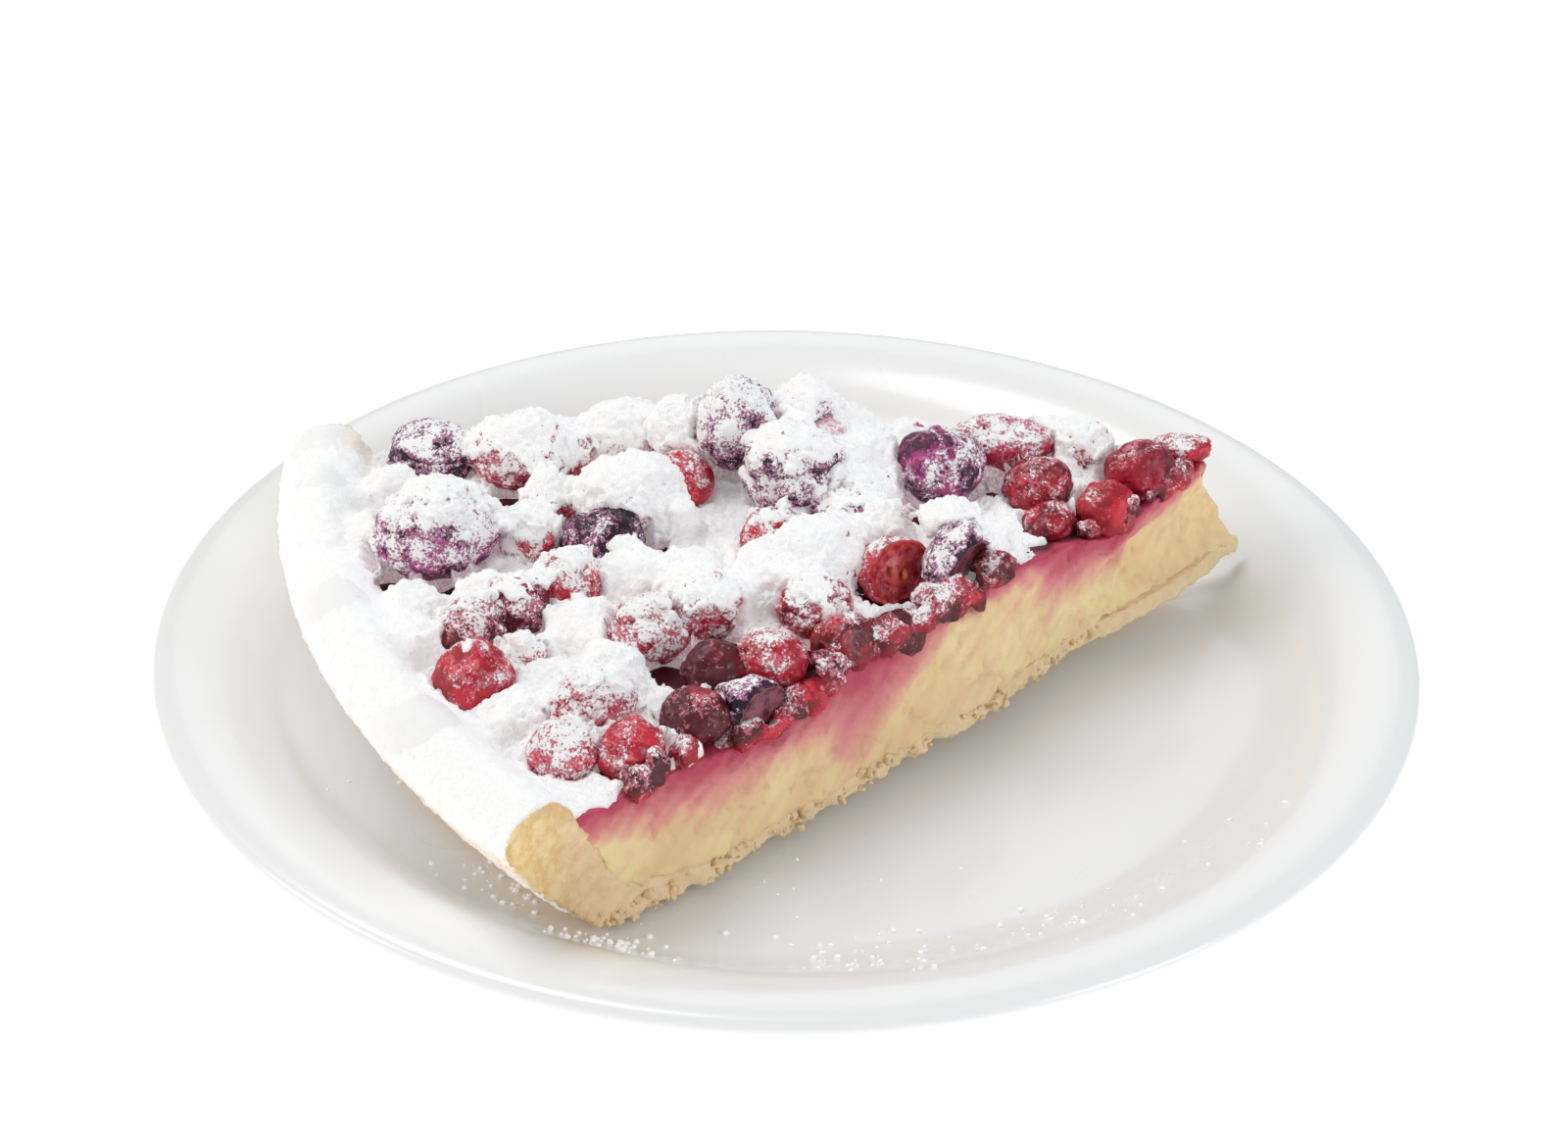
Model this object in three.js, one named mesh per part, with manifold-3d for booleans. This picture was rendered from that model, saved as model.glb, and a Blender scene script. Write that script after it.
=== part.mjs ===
// A wedge of berry custard tart lying on a round white side plate.
//
// Millimetres, +Z up. The origin is the middle of the plate's foot ring, on the table.
// The slice has a frame of its own: its tip is the origin, "along" runs away from the
// tip on the far cut, and "across" is the distance in from the far cut. The near cut
// leaves the tip at SLICE.angle, so along equals across on it.

import * as THREE from "three";
import { mergeVertices } from "three/addons/utils/BufferGeometryUtils.js";
import Module from "manifold-3d";

const wasm = await Module();
wasm.setup();

// ---------- driving dimensions ----------

const GAP = 0.3; // clearance between pieces that touch

const PLATE = {
  radius: 85,
  rimRadius: 82.5, // where the rim is highest
  height: 16,
  floor: 8,
  floorRadius: 60, // the flat part of the well
  hollowRadius: 14, // of the arc between floor and wall, in section
  thickness: 4,
  footInner: 44,
  footOuter: 49,
  footHeight: 3.6,
  segments: 48,
};

const SLICE = {
  angle: 45, // one eighth of a round tart
  turn: -0.7, // degrees about +Z
  tip: new THREE.Vector2(64.1, 24.5), // on the plate
  tipLift: 4.2, // the tip rests on the plate's wall
};

const PASTRY = {
  baseRadius: 119.6,
  outerRadius: 133.6,
  outerHeight: 19,
  crestRadius: 127.4,
  crestHeight: 22.6,
  innerRadius: 122.8, // where the custard meets the rim at the top
  baseThickness: 3,
  coveStart: 92, // from here the base thickens towards the rim
  segments: 96, // round a whole tart
};

const CUSTARD = {
  top: 18.6,
  notchReach: 32, // a step in the near cut, from the tip to here
  notchDepth: 1.8,
};

// ---------- materials ----------

function material(color, roughness) {
  return new THREE.MeshStandardMaterial({ color, roughness, metalness: 0 });
}

const plateGlaze = material(0xf2f1ee, 0.18);
const pastryMaterial = material(0xe3c68f, 0.85);
const custardMaterial = material(0xf0e2b4, 0.55);
const berryMaterials = {
  darkberry: material(0x4a2140, 0.6),
  raspberry: material(0xb4415c, 0.7),
  redcurrant: material(0xa3132c, 0.35),
};

// ---------- solids ----------

// A closed three.js geometry as a solid.
function solid(geometry) {
  const bare = new THREE.BufferGeometry();
  bare.setAttribute("position", geometry.getAttribute("position").clone());
  if (geometry.index) bare.setIndex(geometry.index.clone());
  const merged = mergeVertices(bare, 1e-4);
  const corners = merged.index.array;
  const kept = [];
  for (let i = 0; i < corners.length; i += 3) {
    const [a, b, c] = corners.slice(i, i + 3);
    if (a !== b && b !== c && c !== a) kept.push(a, b, c);
  }
  return new wasm.Manifold(new wasm.Mesh({
    numProp: 3,
    vertProperties: new Float32Array(merged.getAttribute("position").array),
    triVerts: new Uint32Array(kept),
  }));
}

// A solid as a named mesh.
function mesh(name, body, look) {
  const { vertProperties, triVerts } = body.getMesh();
  const geometry = new THREE.BufferGeometry();
  geometry.setAttribute("position", new THREE.BufferAttribute(vertProperties, 3));
  geometry.setIndex(new THREE.BufferAttribute(triVerts, 1));
  geometry.computeVertexNormals();
  const made = new THREE.Mesh(geometry, look.clone());
  made.name = name;
  return made;
}

// A section (radius, height) turned about +Z.
function turned(section, segments) {
  return new THREE.LatheGeometry(section, segments).rotateX(Math.PI / 2);
}

// A flat outline raised into a prism that stands on z = bottom.
function prism(points, bottom, height) {
  const shape = new THREE.Shape(points);
  const made = new THREE.ExtrudeGeometry(shape, { depth: height, bevelEnabled: false });
  return made.translate(0, 0, bottom);
}

// ---------- plate ----------

// The upper side: flat floor, hollow arc, shoulder arc, rim.
function plateTop() {
  const rise = PLATE.height - PLATE.floor;
  const run = PLATE.rimRadius - PLATE.floorRadius;
  const hollow = PLATE.hollowRadius;
  // The two arcs share a tangent where they meet, and that sets its slope.
  const slope = 2 * Math.atan2(rise, run);
  const shoulder = run / Math.sin(slope) - hollow;
  const path = new THREE.Path();
  path.moveTo(0, PLATE.floor);
  path.lineTo(PLATE.floorRadius, PLATE.floor);
  path.absarc(PLATE.floorRadius, PLATE.floor + hollow, hollow, -Math.PI / 2, slope - Math.PI / 2);
  path.absarc(PLATE.rimRadius, PLATE.height - shoulder, shoulder, Math.PI / 2 + slope, Math.PI / 2, true);
  return path.getPoints(3);
}

function plateUnderside() {
  const { radius, footInner, footOuter, footHeight, thickness, height } = PLATE;
  const path = new THREE.Path();
  path.moveTo(radius, height - 1.6);
  path.quadraticCurveTo(radius, height - 3, radius - 3, height - thickness);
  path.quadraticCurveTo(radius - 10, height - thickness - 1, radius - 15, footHeight + 3.4);
  path.quadraticCurveTo(radius - 21, footHeight, footOuter + 3, footHeight);
  path.lineTo(footOuter + 0.8, footHeight);
  path.lineTo(footOuter, 0);
  path.lineTo(footInner, 0);
  path.lineTo(footInner - 0.8, footHeight);
  path.lineTo(0, footHeight);
  return path.getPoints(3);
}

function plateSolid() {
  const { radius, height, segments } = PLATE;
  const lip = new THREE.QuadraticBezierCurve(
    new THREE.Vector2(PLATE.rimRadius + 0.6, height - 0.05),
    new THREE.Vector2(radius, height - 0.1),
    new THREE.Vector2(radius, height - 1.6),
  );
  const section = [...plateTop(), ...lip.getPoints(3).slice(0, -1), ...plateUnderside()];
  return solid(turned(section.reverse(), segments));
}

// ---------- pastry and custard ----------

// Everything between the two cuts.
function wedge() {
  const reach = 200;
  const near = THREE.MathUtils.degToRad(SLICE.angle);
  const corner = new THREE.Vector2(-reach * Math.cos(near), -reach * Math.sin(near));
  return solid(prism([new THREE.Vector2(0, 0), new THREE.Vector2(-reach, 0), corner], -5, 60));
}

// The pressed rim isn't even: its crest waves a little, round the tart.
function waveRim(geometry) {
  const place = geometry.getAttribute("position");
  for (let i = 0; i < place.count; i += 1) {
    const x = place.getX(i);
    const y = place.getY(i);
    const z = place.getZ(i);
    const radius = Math.hypot(x, y);
    const bearing = Math.atan2(y, x);
    const share = THREE.MathUtils.smoothstep(radius, PASTRY.innerRadius + 2, PASTRY.crestRadius);
    const lift = 0.45 * Math.sin(22 * bearing) + 0.3 * Math.sin(37 * bearing + 1);
    const spread = 1 + (share * 0.35 * Math.sin(16 * bearing + 2)) / PASTRY.outerRadius;
    const height = z > PASTRY.outerHeight / 2 ? z + share * lift : z;
    place.setXYZ(i, x * spread, y * spread, height);
  }
  return geometry;
}

// The line where pastry and custard meet, moved by gap into the custard.
function innerWall(gap) {
  const { coveStart, baseThickness, innerRadius, baseRadius } = PASTRY;
  const path = new THREE.Path();
  path.moveTo(0, baseThickness + gap);
  path.lineTo(coveStart, baseThickness + gap);
  path.quadraticCurveTo(108, baseThickness + gap, 114.6 - gap, 5 + gap);
  path.quadraticCurveTo(118 - gap, 6.6 + gap, baseRadius - 1 - gap, 10 + gap);
  path.lineTo(innerRadius - gap, CUSTARD.top);
  return path.getPoints(3);
}

function pastrySolid(cut) {
  const { baseRadius, outerRadius, outerHeight, crestRadius, crestHeight, innerRadius } = PASTRY;
  const rim = new THREE.Path();
  rim.moveTo(innerRadius, CUSTARD.top);
  rim.quadraticCurveTo(innerRadius + 0.8, crestHeight - 0.6, crestRadius, crestHeight);
  rim.quadraticCurveTo(outerRadius - 0.6, outerHeight + 2.4, outerRadius, outerHeight);
  rim.quadraticCurveTo(outerRadius - 2.6, outerHeight - 7, baseRadius + 1.6, 1.6);
  rim.quadraticCurveTo(baseRadius + 0.9, 0, baseRadius, 0);
  const section = [...innerWall(0), ...rim.getPoints(4).slice(1), new THREE.Vector2(0, 0)];
  return solid(waveRim(turned(section.reverse(), PASTRY.segments))).intersect(cut);
}

// At the tip the custard has slumped back from the point of the base. Its profile
// seen from the side, in (distance from the tip, height), is cut away across the slice.
function tipCutter() {
  const slump = [
    [-6, 2.9], [1.8, 2.9], [4.4, 6], [7.6, 11], [9.6, 15], [9.2, 17], [7.6, 18.6], [7.2, 40], [-6, 40],
  ];
  const halfWidth = 20;
  const outline = slump.map(([away, height]) => new THREE.Vector2(away, height));
  const block = prism(outline, -halfWidth, 2 * halfWidth);
  block.rotateX(Math.PI / 2);
  block.rotateZ(Math.PI + THREE.MathUtils.degToRad(SLICE.angle / 2));
  return solid(block);
}

// The knife stopped once on the near cut and left a shallow step.
function notchCutter() {
  const near = THREE.MathUtils.degToRad(SLICE.angle);
  const { notchReach, notchDepth } = CUSTARD;
  const outline = [
    new THREE.Vector2(6, -0.3),
    new THREE.Vector2(notchReach, -notchDepth),
    new THREE.Vector2(notchReach, 6),
    new THREE.Vector2(-4, 6),
  ];
  const block = prism(outline, PASTRY.baseThickness + GAP, 40);
  block.rotateZ(Math.PI + near);
  return solid(block);
}

function custardSolid(cut) {
  const middle = new THREE.Vector2(0, CUSTARD.top);
  const section = [...innerWall(GAP), middle];
  const filling = solid(turned(section, PASTRY.segments)).intersect(cut);
  return filling.subtract(tipCutter()).subtract(notchCutter());
}

// ---------- berries ----------

// [along, across, height of the middle, half length, half width, half height, turn in degrees]
const BERRIES = {
  darkberry: [
    [109.6, 29.4, 22.6, 8.6, 7.4, 6.6, 10],
    [63, 15.4, 23.6, 7.4, 6.6, 6.4, -10],
    [70.4, 6.4, 25.4, 6.6, 5.4, 6.8, 60],
    [60.8, 4.6, 27.4, 4.2, 3.8, 3.8, 0],
    [42.8, 12.2, 22.2, 6.2, 5.6, 5.4, 30],
    [112.6, 5.6, 21, 6.6, 5.2, 4.2, 0],
    [87.8, 28, 20, 5.6, 5, 4.6, 0],
    [40.8, 34.6, 20.2, 5.2, 4.8, 6.2, 40],
    [55.4, 21.6, 19.6, 5.2, 4.6, 4.4, 0],
    [67.4, 63.4, 17.4, 4.8, 4.2, 4.6, 0],
  ],
  raspberry: [
    [99.6, 7.4, 21.8, 8.8, 6, 5.6, -8],
    [84.6, 19.6, 22.4, 7.2, 5.8, 5.4, 15],
    [86.4, 4.8, 23.6, 5, 4.4, 4.6, 0],
    [79, 5.6, 24.2, 4.2, 4, 4.6, 0],
    [80.4, 49.6, 20.4, 5.4, 4.8, 4.8, 30],
    [74, 45.4, 21.2, 5.2, 4.8, 4.8, -20],
    [59.4, 34.6, 21.6, 6.8, 5.2, 5, 20],
    [59.6, 44.6, 20.4, 5, 4.2, 4.2, 35],
    [15.4, 9.2, 19.4, 5, 4.4, 4.4, 20],
    [34.8, 4.8, 21, 7.2, 4.6, 4.4, 0],
    [86.8, 65.4, 20.2, 5.6, 4.2, 4.2, 10],
  ],
  redcurrant: [
    [101.4, 61.6, 21.4, 4.8, 4.8, 4.8, 0],
    [103, 48, 20, 4.2, 4, 4, 0],
    [97.8, 43.6, 20.2, 4.4, 4.2, 4.2, 20],
    [96.2, 53.4, 19.4, 3, 2.8, 2.8, 0],
    [89.4, 74.6, 19.4, 4.4, 4, 4.2, 0],
    [81.2, 74, 19, 4.4, 3.8, 4.4, 40],
    [73.8, 66.2, 18.8, 4.2, 3.8, 3.8, 0],
    [71.6, 56.6, 19, 4, 4, 4, 0],
    [64.8, 55.4, 19.6, 4.6, 4.2, 4.2, 0],
    [55.6, 50, 18.6, 4.2, 3.8, 4.2, 40],
    [60, 58, 16, 2.6, 2.4, 2.4, 0],
    [48.6, 45, 16.6, 3.8, 3.2, 3.4, 45],
    [49.2, 35.6, 20.2, 5, 4.6, 5, 45],
    [29.6, 13.4, 19.8, 4.6, 4.2, 4.2, 0],
    [20.4, 16.4, 17.6, 4, 3.8, 4.2, 0],
    [28.2, 20.2, 17.6, 3.8, 3.4, 3.4, 45],
    [23.4, 4.2, 20.2, 4.2, 3.8, 4, 0],
    [95.2, 17.6, 20, 4.2, 4, 4, 0],
    [78, 13.6, 21, 4.4, 4, 4.2, 0],
    [65.2, 28.2, 20.6, 4.4, 4.2, 4.2, 0],
    [91.6, 38, 20.6, 4.6, 4.4, 4.4, 0],
    [97.4, 26.8, 20.6, 4.2, 4.2, 4.2, 0],
    [47, 4, 20.4, 3.8, 3.6, 3.8, 0],
    [53.4, 8.4, 21, 4.2, 4, 4.2, 0],
    [117.6, 13.2, 19.4, 3.4, 3.2, 3.2, 0],
    [9.4, 3.6, 20.6, 3.8, 2.2, 1.8, 0],
  ],
};

// A soft lumpy ball, no two alike, grown all round by clearance.
function berryBody([along, across, height, length, width, tall, turn], index, clearance) {
  const ball = new THREE.IcosahedronGeometry(1, 1);
  const place = ball.getAttribute("position");
  for (let i = 0; i < place.count; i += 1) {
    const x = place.getX(i);
    const y = place.getY(i);
    const z = place.getZ(i);
    const lump = 1 + 0.035 * Math.sin(3 * x + index) + 0.035 * Math.sin(4 * y + 2 * z + 2 * index);
    place.setXYZ(i, x * lump, y * lump, z * lump);
  }
  ball.scale(length + clearance, width + clearance, tall + clearance);
  ball.rotateZ(THREE.MathUtils.degToRad(turn));
  ball.translate(-along, -across, height);
  return solid(ball);
}

// Berries in the order listed: each later one gives way to the ones before it, and
// all of them are cut by the knife. The custard keeps a socket round each.
function bedBerries(slice, custard, cut) {
  let taken = null;
  let bed = custard;
  let index = 0;
  for (const [kind, rows] of Object.entries(BERRIES)) {
    rows.forEach((row, number) => {
      const whole = berryBody(row, index, 0).intersect(cut);
      const body = taken ? whole.subtract(taken) : whole;
      const room = berryBody(row, index, GAP);
      taken = taken ? taken.add(room) : room;
      bed = bed.subtract(room);
      slice.add(mesh(`${kind}_${String(number + 1).padStart(2, "0")}`, body, berryMaterials[kind]));
      index += 1;
    });
  }
  return bed;
}

// ---------- assembly ----------

function tartSlice() {
  const slice = new THREE.Group();
  const cut = wedge();
  slice.add(mesh("pastry", pastrySolid(cut), pastryMaterial));
  slice.add(mesh("custard", bedBerries(slice, custardSolid(cut), cut), custardMaterial));
  return slice;
}

// The slice stands on the well's floor at its arc end and on the wall at its tip.
function settle(slice) {
  const half = THREE.MathUtils.degToRad(SLICE.angle / 2);
  const hinge = new THREE.Vector3(Math.sin(half), -Math.cos(half), 0);
  const tilt = new THREE.Quaternion().setFromAxisAngle(hinge, SLICE.tipLift / PASTRY.baseRadius);
  const turn = THREE.MathUtils.degToRad(SLICE.turn);
  slice.quaternion.setFromAxisAngle(new THREE.Vector3(0, 0, 1), turn).multiply(tilt);
  slice.position.set(SLICE.tip.x, SLICE.tip.y, PLATE.floor + GAP + SLICE.tipLift);
  return slice;
}

const tart = new THREE.Group();
tart.add(mesh("plate", plateSolid(), plateGlaze));
tart.add(settle(tartSlice()));

export default tart;
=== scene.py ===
# %% [markdown]
# # A wedge of berry tart on its plate
#
# The real thing is one eighth of a round tart: a pressed pastry shell, a layer of set
# custard, frozen berries sunk into the top, and a heavy fall of icing sugar. It lies on
# a white glazed side plate. This lesson builds each of these in turn, around the fixed
# CAD frame, so every piece has its true place from the start.

# %% Load the frame
import math
import random

import bmesh
import bpy
import numpy as np
from mathutils import Matrix, Vector


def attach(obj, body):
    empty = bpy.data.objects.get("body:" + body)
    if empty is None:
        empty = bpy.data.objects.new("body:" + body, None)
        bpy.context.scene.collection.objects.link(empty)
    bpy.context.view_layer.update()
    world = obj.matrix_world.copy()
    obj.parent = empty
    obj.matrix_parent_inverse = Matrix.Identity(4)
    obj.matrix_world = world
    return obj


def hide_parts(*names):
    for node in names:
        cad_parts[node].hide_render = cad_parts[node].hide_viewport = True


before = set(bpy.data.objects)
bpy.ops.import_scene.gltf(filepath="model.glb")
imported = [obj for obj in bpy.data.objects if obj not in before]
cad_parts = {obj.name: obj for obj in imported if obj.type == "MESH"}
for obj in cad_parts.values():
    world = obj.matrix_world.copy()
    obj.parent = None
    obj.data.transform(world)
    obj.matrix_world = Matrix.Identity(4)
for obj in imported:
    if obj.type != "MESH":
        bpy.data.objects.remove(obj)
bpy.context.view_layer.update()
MM = 0.001

# %% [markdown]
# ## The slice's own frame
#
# The slice is easier to shape lying level with its tip at zero, as on the baker's
# bench, and is then settled on the plate in one move. "Along" is the distance from the
# tip down the far cut, and "across" the distance in from it. The near cut, which the
# photograph looks at, is the line where the two are equal.

# %% The slice's frame
SLICE_ANGLE = math.radians(45)
HALF = SLICE_ANGLE / 2
TIP = Vector((64.1, 24.5)) * MM
TIP_LIFT = 4.2 * MM
SLICE_TURN = -0.7  # degrees, from the far cut along X
WELL_FLOOR = 8 * MM
GAP = 0.3 * MM
BASE_RADIUS = 119.6
CUSTARD_TOP = 18.6

hinge = Vector((math.sin(HALF), -math.cos(HALF), 0))
settle = (
    Matrix.Translation((TIP.x, TIP.y, WELL_FLOOR + GAP + TIP_LIFT))
    @ Matrix.Rotation(math.radians(SLICE_TURN), 4, "Z")
    @ Matrix.Rotation(TIP_LIFT / (BASE_RADIUS * MM), 4, hinge)
)
NEAR_OUT = np.array([1, -1, 0]) / math.sqrt(2)  # out of the near cut
FAR_OUT = np.array([0, 1, 0])  # out of the far cut
TIP_OUT = np.array([math.cos(HALF), math.sin(HALF), 0])  # out past the tip


def depths(points):
    """How far points, in mm, lie from the tip and inside the near and the far cut."""
    return np.hypot(points[:, 0], points[:, 1]), -(points @ NEAR_OUT), -(points @ FAR_OUT)


def step(low, high, value):
    """0 below low, 1 above high, smooth between."""
    share = np.clip((value - low) / (high - low), 0, 1)
    return share * share * (3 - 2 * share)


print("slice", round(math.degrees(SLICE_ANGLE)), "degrees, tip", round(TIP_LIFT / MM, 1), "mm up")

# %% [markdown]
# ## Noise for shapes
#
# Crumb, dents and sugar all need the same thing: a smooth random height at any place,
# the same on each run. It is worked out here for all points at once, and its humps are
# given in mm, so each use can say how coarse it is.

# %% Noise
SLOPES = np.random.default_rng(1).normal(size=(256, 3))
SLOPES /= np.linalg.norm(SLOPES, axis=1)[:, None]
SHUFFLE = np.random.default_rng(2).permutation(256)


def hills(points):
    """Smooth noise on a grid of cells 1 wide, from about -1 to 1, at many points at once."""
    cell = np.floor(points).astype(int)
    inside = points - cell
    ease = inside * inside * inside * (inside * (inside * 6 - 15) + 10)
    total = np.zeros(len(points))
    for corner in np.ndindex(2, 2, 2):
        x, y, z = ((cell + corner) & 255).T
        slope = SLOPES[SHUFFLE[(SHUFFLE[(SHUFFLE[x] + y) & 255] + z) & 255]]
        share = np.prod(np.where(corner, ease, 1 - ease), axis=1)
        total += share * np.sum(slope * (inside - corner), axis=1)
    return total * 1.5


def lumps(points, size, seed, octaves=1):
    """Smooth noise from about -1 to 1 with humps of a size in mm, at points in mm."""
    places = points / size + np.array([17.3, 5.1, 9.7]) * seed
    total = hills(places)
    share = 1.0
    for _ in range(octaves - 1):
        places = places * 2.1 + 3.7
        share *= 0.55
        total += share * hills(places)
    return total


def puffs(points, size, seed):
    """Rounded heaps with sharp creases between them, 0 in the creases to about 1."""
    return np.abs(lumps(points, size, seed)) * 2


# %% [markdown]
# ## Small helpers for meshes
#
# A modeller that moves many thousand points reads them as one array, moves them
# together and writes them back. Numbers that a material will need, such as how much
# sugar lies there, are noted on the points.


# %% Points in and out
def to_object(name, bm, smooth=True):
    """A bmesh as a linked object."""
    mesh = bpy.data.meshes.new(name)
    bm.to_mesh(mesh)
    bm.free()
    obj = bpy.data.objects.new(name, mesh)
    bpy.context.collection.objects.link(obj)
    if smooth:
        mesh.shade_smooth()
    return obj


def edit(mesh, change):
    """Opens a mesh as a bmesh, changes it and writes it back."""
    bm = bmesh.new()
    bm.from_mesh(mesh)
    change(bm)
    bm.to_mesh(mesh)
    bm.free()


def get_points(mesh):
    points = np.empty(len(mesh.vertices) * 3)
    mesh.vertices.foreach_get("co", points)
    return points.reshape(-1, 3)


def set_points(mesh, points):
    mesh.vertices.foreach_set("co", points.ravel())
    mesh.update()


def get_normals(mesh):
    normals = np.empty(len(mesh.vertices) * 3)
    mesh.vertex_normals.foreach_get("vector", normals)
    return normals.reshape(-1, 3)


def note(mesh, name, values):
    """Keeps one number a vertex on the mesh, for its material to read."""
    attribute = mesh.attributes.get(name) or mesh.attributes.new(name, "FLOAT", "POINT")
    attribute.data.foreach_set("value", np.asarray(values, dtype=np.float32))


# %% Even skins
def settle_modifiers(obj):
    """Makes what the modifiers show the object's own mesh."""
    bpy.context.view_layer.update()
    shown = obj.evaluated_get(bpy.context.evaluated_depsgraph_get())
    made = bpy.data.meshes.new_from_object(shown)
    obj.modifiers.clear()
    old = obj.data
    obj.data = made
    bpy.data.meshes.remove(old)
    made.shade_smooth()
    return obj


def voxel(obj, size, relax=0):
    """Gives a closed mesh an even skin of small squares, size mm wide."""
    remesh = obj.modifiers.new("even skin", "REMESH")
    remesh.mode = "VOXEL"
    remesh.voxel_size = size
    if relax:
        smooth = obj.modifiers.new("relax", "SMOOTH")
        smooth.factor = 0.5
        smooth.iterations = relax
    return settle_modifiers(obj)


def lighten(obj, share):
    """Merges faces where the surface is nearly flat, down to a share of their number."""
    fewer = obj.modifiers.new("fewer faces", "DECIMATE")
    fewer.ratio = share
    return settle_modifiers(obj)


# %% Balls, bits and their places
def add_ball(bm, place, subdivisions, relief, *details):
    """Adds a ball of radius 1 with the relief a function gives it, in place by a matrix."""
    verts = bmesh.ops.create_icosphere(bm, subdivisions=subdivisions, radius=1)["verts"]
    unit = np.array([v.co for v in verts])
    for vert, factor in zip(verts, relief(unit, *details)):
        vert.co *= factor
    bmesh.ops.transform(bm, matrix=place, verts=verts)


def dented(unit, seed, depth):
    """The plainest relief: soft dents, by a share of the radius, on a ball's points."""
    return 1 + depth * lumps(unit, 0.9, seed, 2)


def ball_place(along, across, height, length, width, tall, turn=0):
    return (Matrix.Translation((-along, -across, height))
            @ Matrix.Rotation(math.radians(turn), 4, "Z")
            @ Matrix.Diagonal((length, width, tall, 1)))


def on_near_cut(reach, out):
    """The point of the near cut at a distance from the tip, moved out of the cut by some mm."""
    along = np.array([math.cos(SLICE_ANGLE), math.sin(SLICE_ANGLE), 0])
    return -reach * along + NEAR_OUT * out


def tumbled(rng, spot, height, size):
    """A place for a small bit, turned any way and a little flattened."""
    return (Matrix.Translation((spot[0], spot[1], height))
            @ Matrix.Rotation(rng.uniform(0, math.tau), 4, (rng.random(), rng.random(), 1))
            @ Matrix.Diagonal((size, size * rng.uniform(0.6, 1), size * rng.uniform(0.5, 0.9), 1)))


# %% Pieces in the shared frame
def on_plate(obj):
    """From mm in the slice's frame to metres in its place on the plate."""
    obj.data.transform(settle @ Matrix.Scale(MM, 4))
    obj.data.update()


def finish_piece(obj, slot, nodes, *materials):
    """Gives a piece its materials, its body and the CAD nodes it replaces. The slot is not used.
    """
    for material in materials:
        obj.data.materials.append(material)
    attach(obj, "root")
    if nodes:
        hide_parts(*nodes)
    print(obj.name, len(obj.data.polygons), "faces")


# %% [markdown]
# ## Small helpers for materials
#
# A material is a tree of nodes. What is the same all over is set on the shader itself,
# and what changes over the surface comes in through a link. Every pattern is measured on
# the object, in mm, so it stays where it is from any side.


# %% Nodes and links
def new_material(name, **constants):
    """A material, its node tree, and its Principled shader with plain numbers set."""
    material = bpy.data.materials.new(name)
    material.use_nodes = True
    shader = material.node_tree.nodes["Principled BSDF"]
    for socket, value in constants.items():
        shader.inputs[socket.replace("_", " ")].default_value = value
    return material, material.node_tree, shader


def add(tree, kind, links=None, **settings):
    """A new node. links names input sockets and what feeds them: a socket or a value."""
    made = tree.nodes.new(kind)
    for name, value in settings.items():
        setattr(made, name, value)
    for name, value in (links or {}).items():
        socket = made.inputs[name]
        if isinstance(value, bpy.types.NodeSocket):
            tree.links.new(value, socket)
        else:
            socket.default_value = value
    return made


def wire(tree, shader, **sockets):
    """Links what changes over the surface to the shader."""
    for name, value in sockets.items():
        tree.links.new(value, shader.inputs[name.replace("_", " ")])


def own_place(tree):
    return add(tree, "ShaderNodeTexCoord").outputs["Object"]


def noted(tree, name):
    return add(tree, "ShaderNodeAttribute", attribute_name=name).outputs["Fac"]


# %% Colours, masks and bumps
def srgb(red, green, blue):
    """A colour as a painter reads it, 0 to 255, as the linear colour a shader needs."""
    linear = [c / 12.92 if c <= 0.04045 else ((c + 0.055) / 1.055) ** 2.4
              for c in (red / 255, green / 255, blue / 255)]
    return (*linear, 1)


def mix_color(tree, factor, first, second):
    links = {0: factor, 6: first, 7: second}
    return add(tree, "ShaderNodeMix", links, data_type="RGBA").outputs[2]


def spread(tree, value, low, high, to_low=0.0, to_high=1.0):
    """Smoothly stretches the range low to high over to_low to to_high."""
    made = add(tree, "ShaderNodeMapRange", {"Value": value, "From Min": low, "From Max": high,
               "To Min": to_low, "To Max": to_high}, interpolation_type="SMOOTHSTEP")
    return made.outputs["Result"]


def math_node(tree, operation, first, second):
    return add(tree, "ShaderNodeMath", {0: first, 1: second}, operation=operation).outputs[0]


def added(tree, first, second):
    return math_node(tree, "ADD", first, second)


def times(tree, first, second):
    return math_node(tree, "MULTIPLY", first, second)


def noise_node(tree, where, size_mm, detail=2.0, roughness=0.5):
    """Noise on where, with features about size_mm across."""
    return add(tree, "ShaderNodeTexNoise", {"Vector": where, "Scale": 1000 / size_mm,
               "Detail": detail, "Roughness": roughness}).outputs["Fac"]


def bump(tree, height, strength, depth_mm, normal=None):
    links = {"Height": height, "Strength": strength, "Distance": depth_mm * MM}
    if normal is not None:
        links["Normal"] = normal
    return add(tree, "ShaderNodeBump", links).outputs["Normal"]


# %% [markdown]
# ## Sugar that clings
#
# Icing sugar lies thick on what faces up, and thins out to single grains down the sides.
# A group that turns a "frost" number on the surface into specks serves every fruit and
# the crust alike: fine noise is cut off at a height which the frost lowers.


# %% The dusting group
BARE_BAR, COVERED_BAR = 0.96, 0.38  # noise height that shows as sugar, at frost 0 and 1


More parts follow.
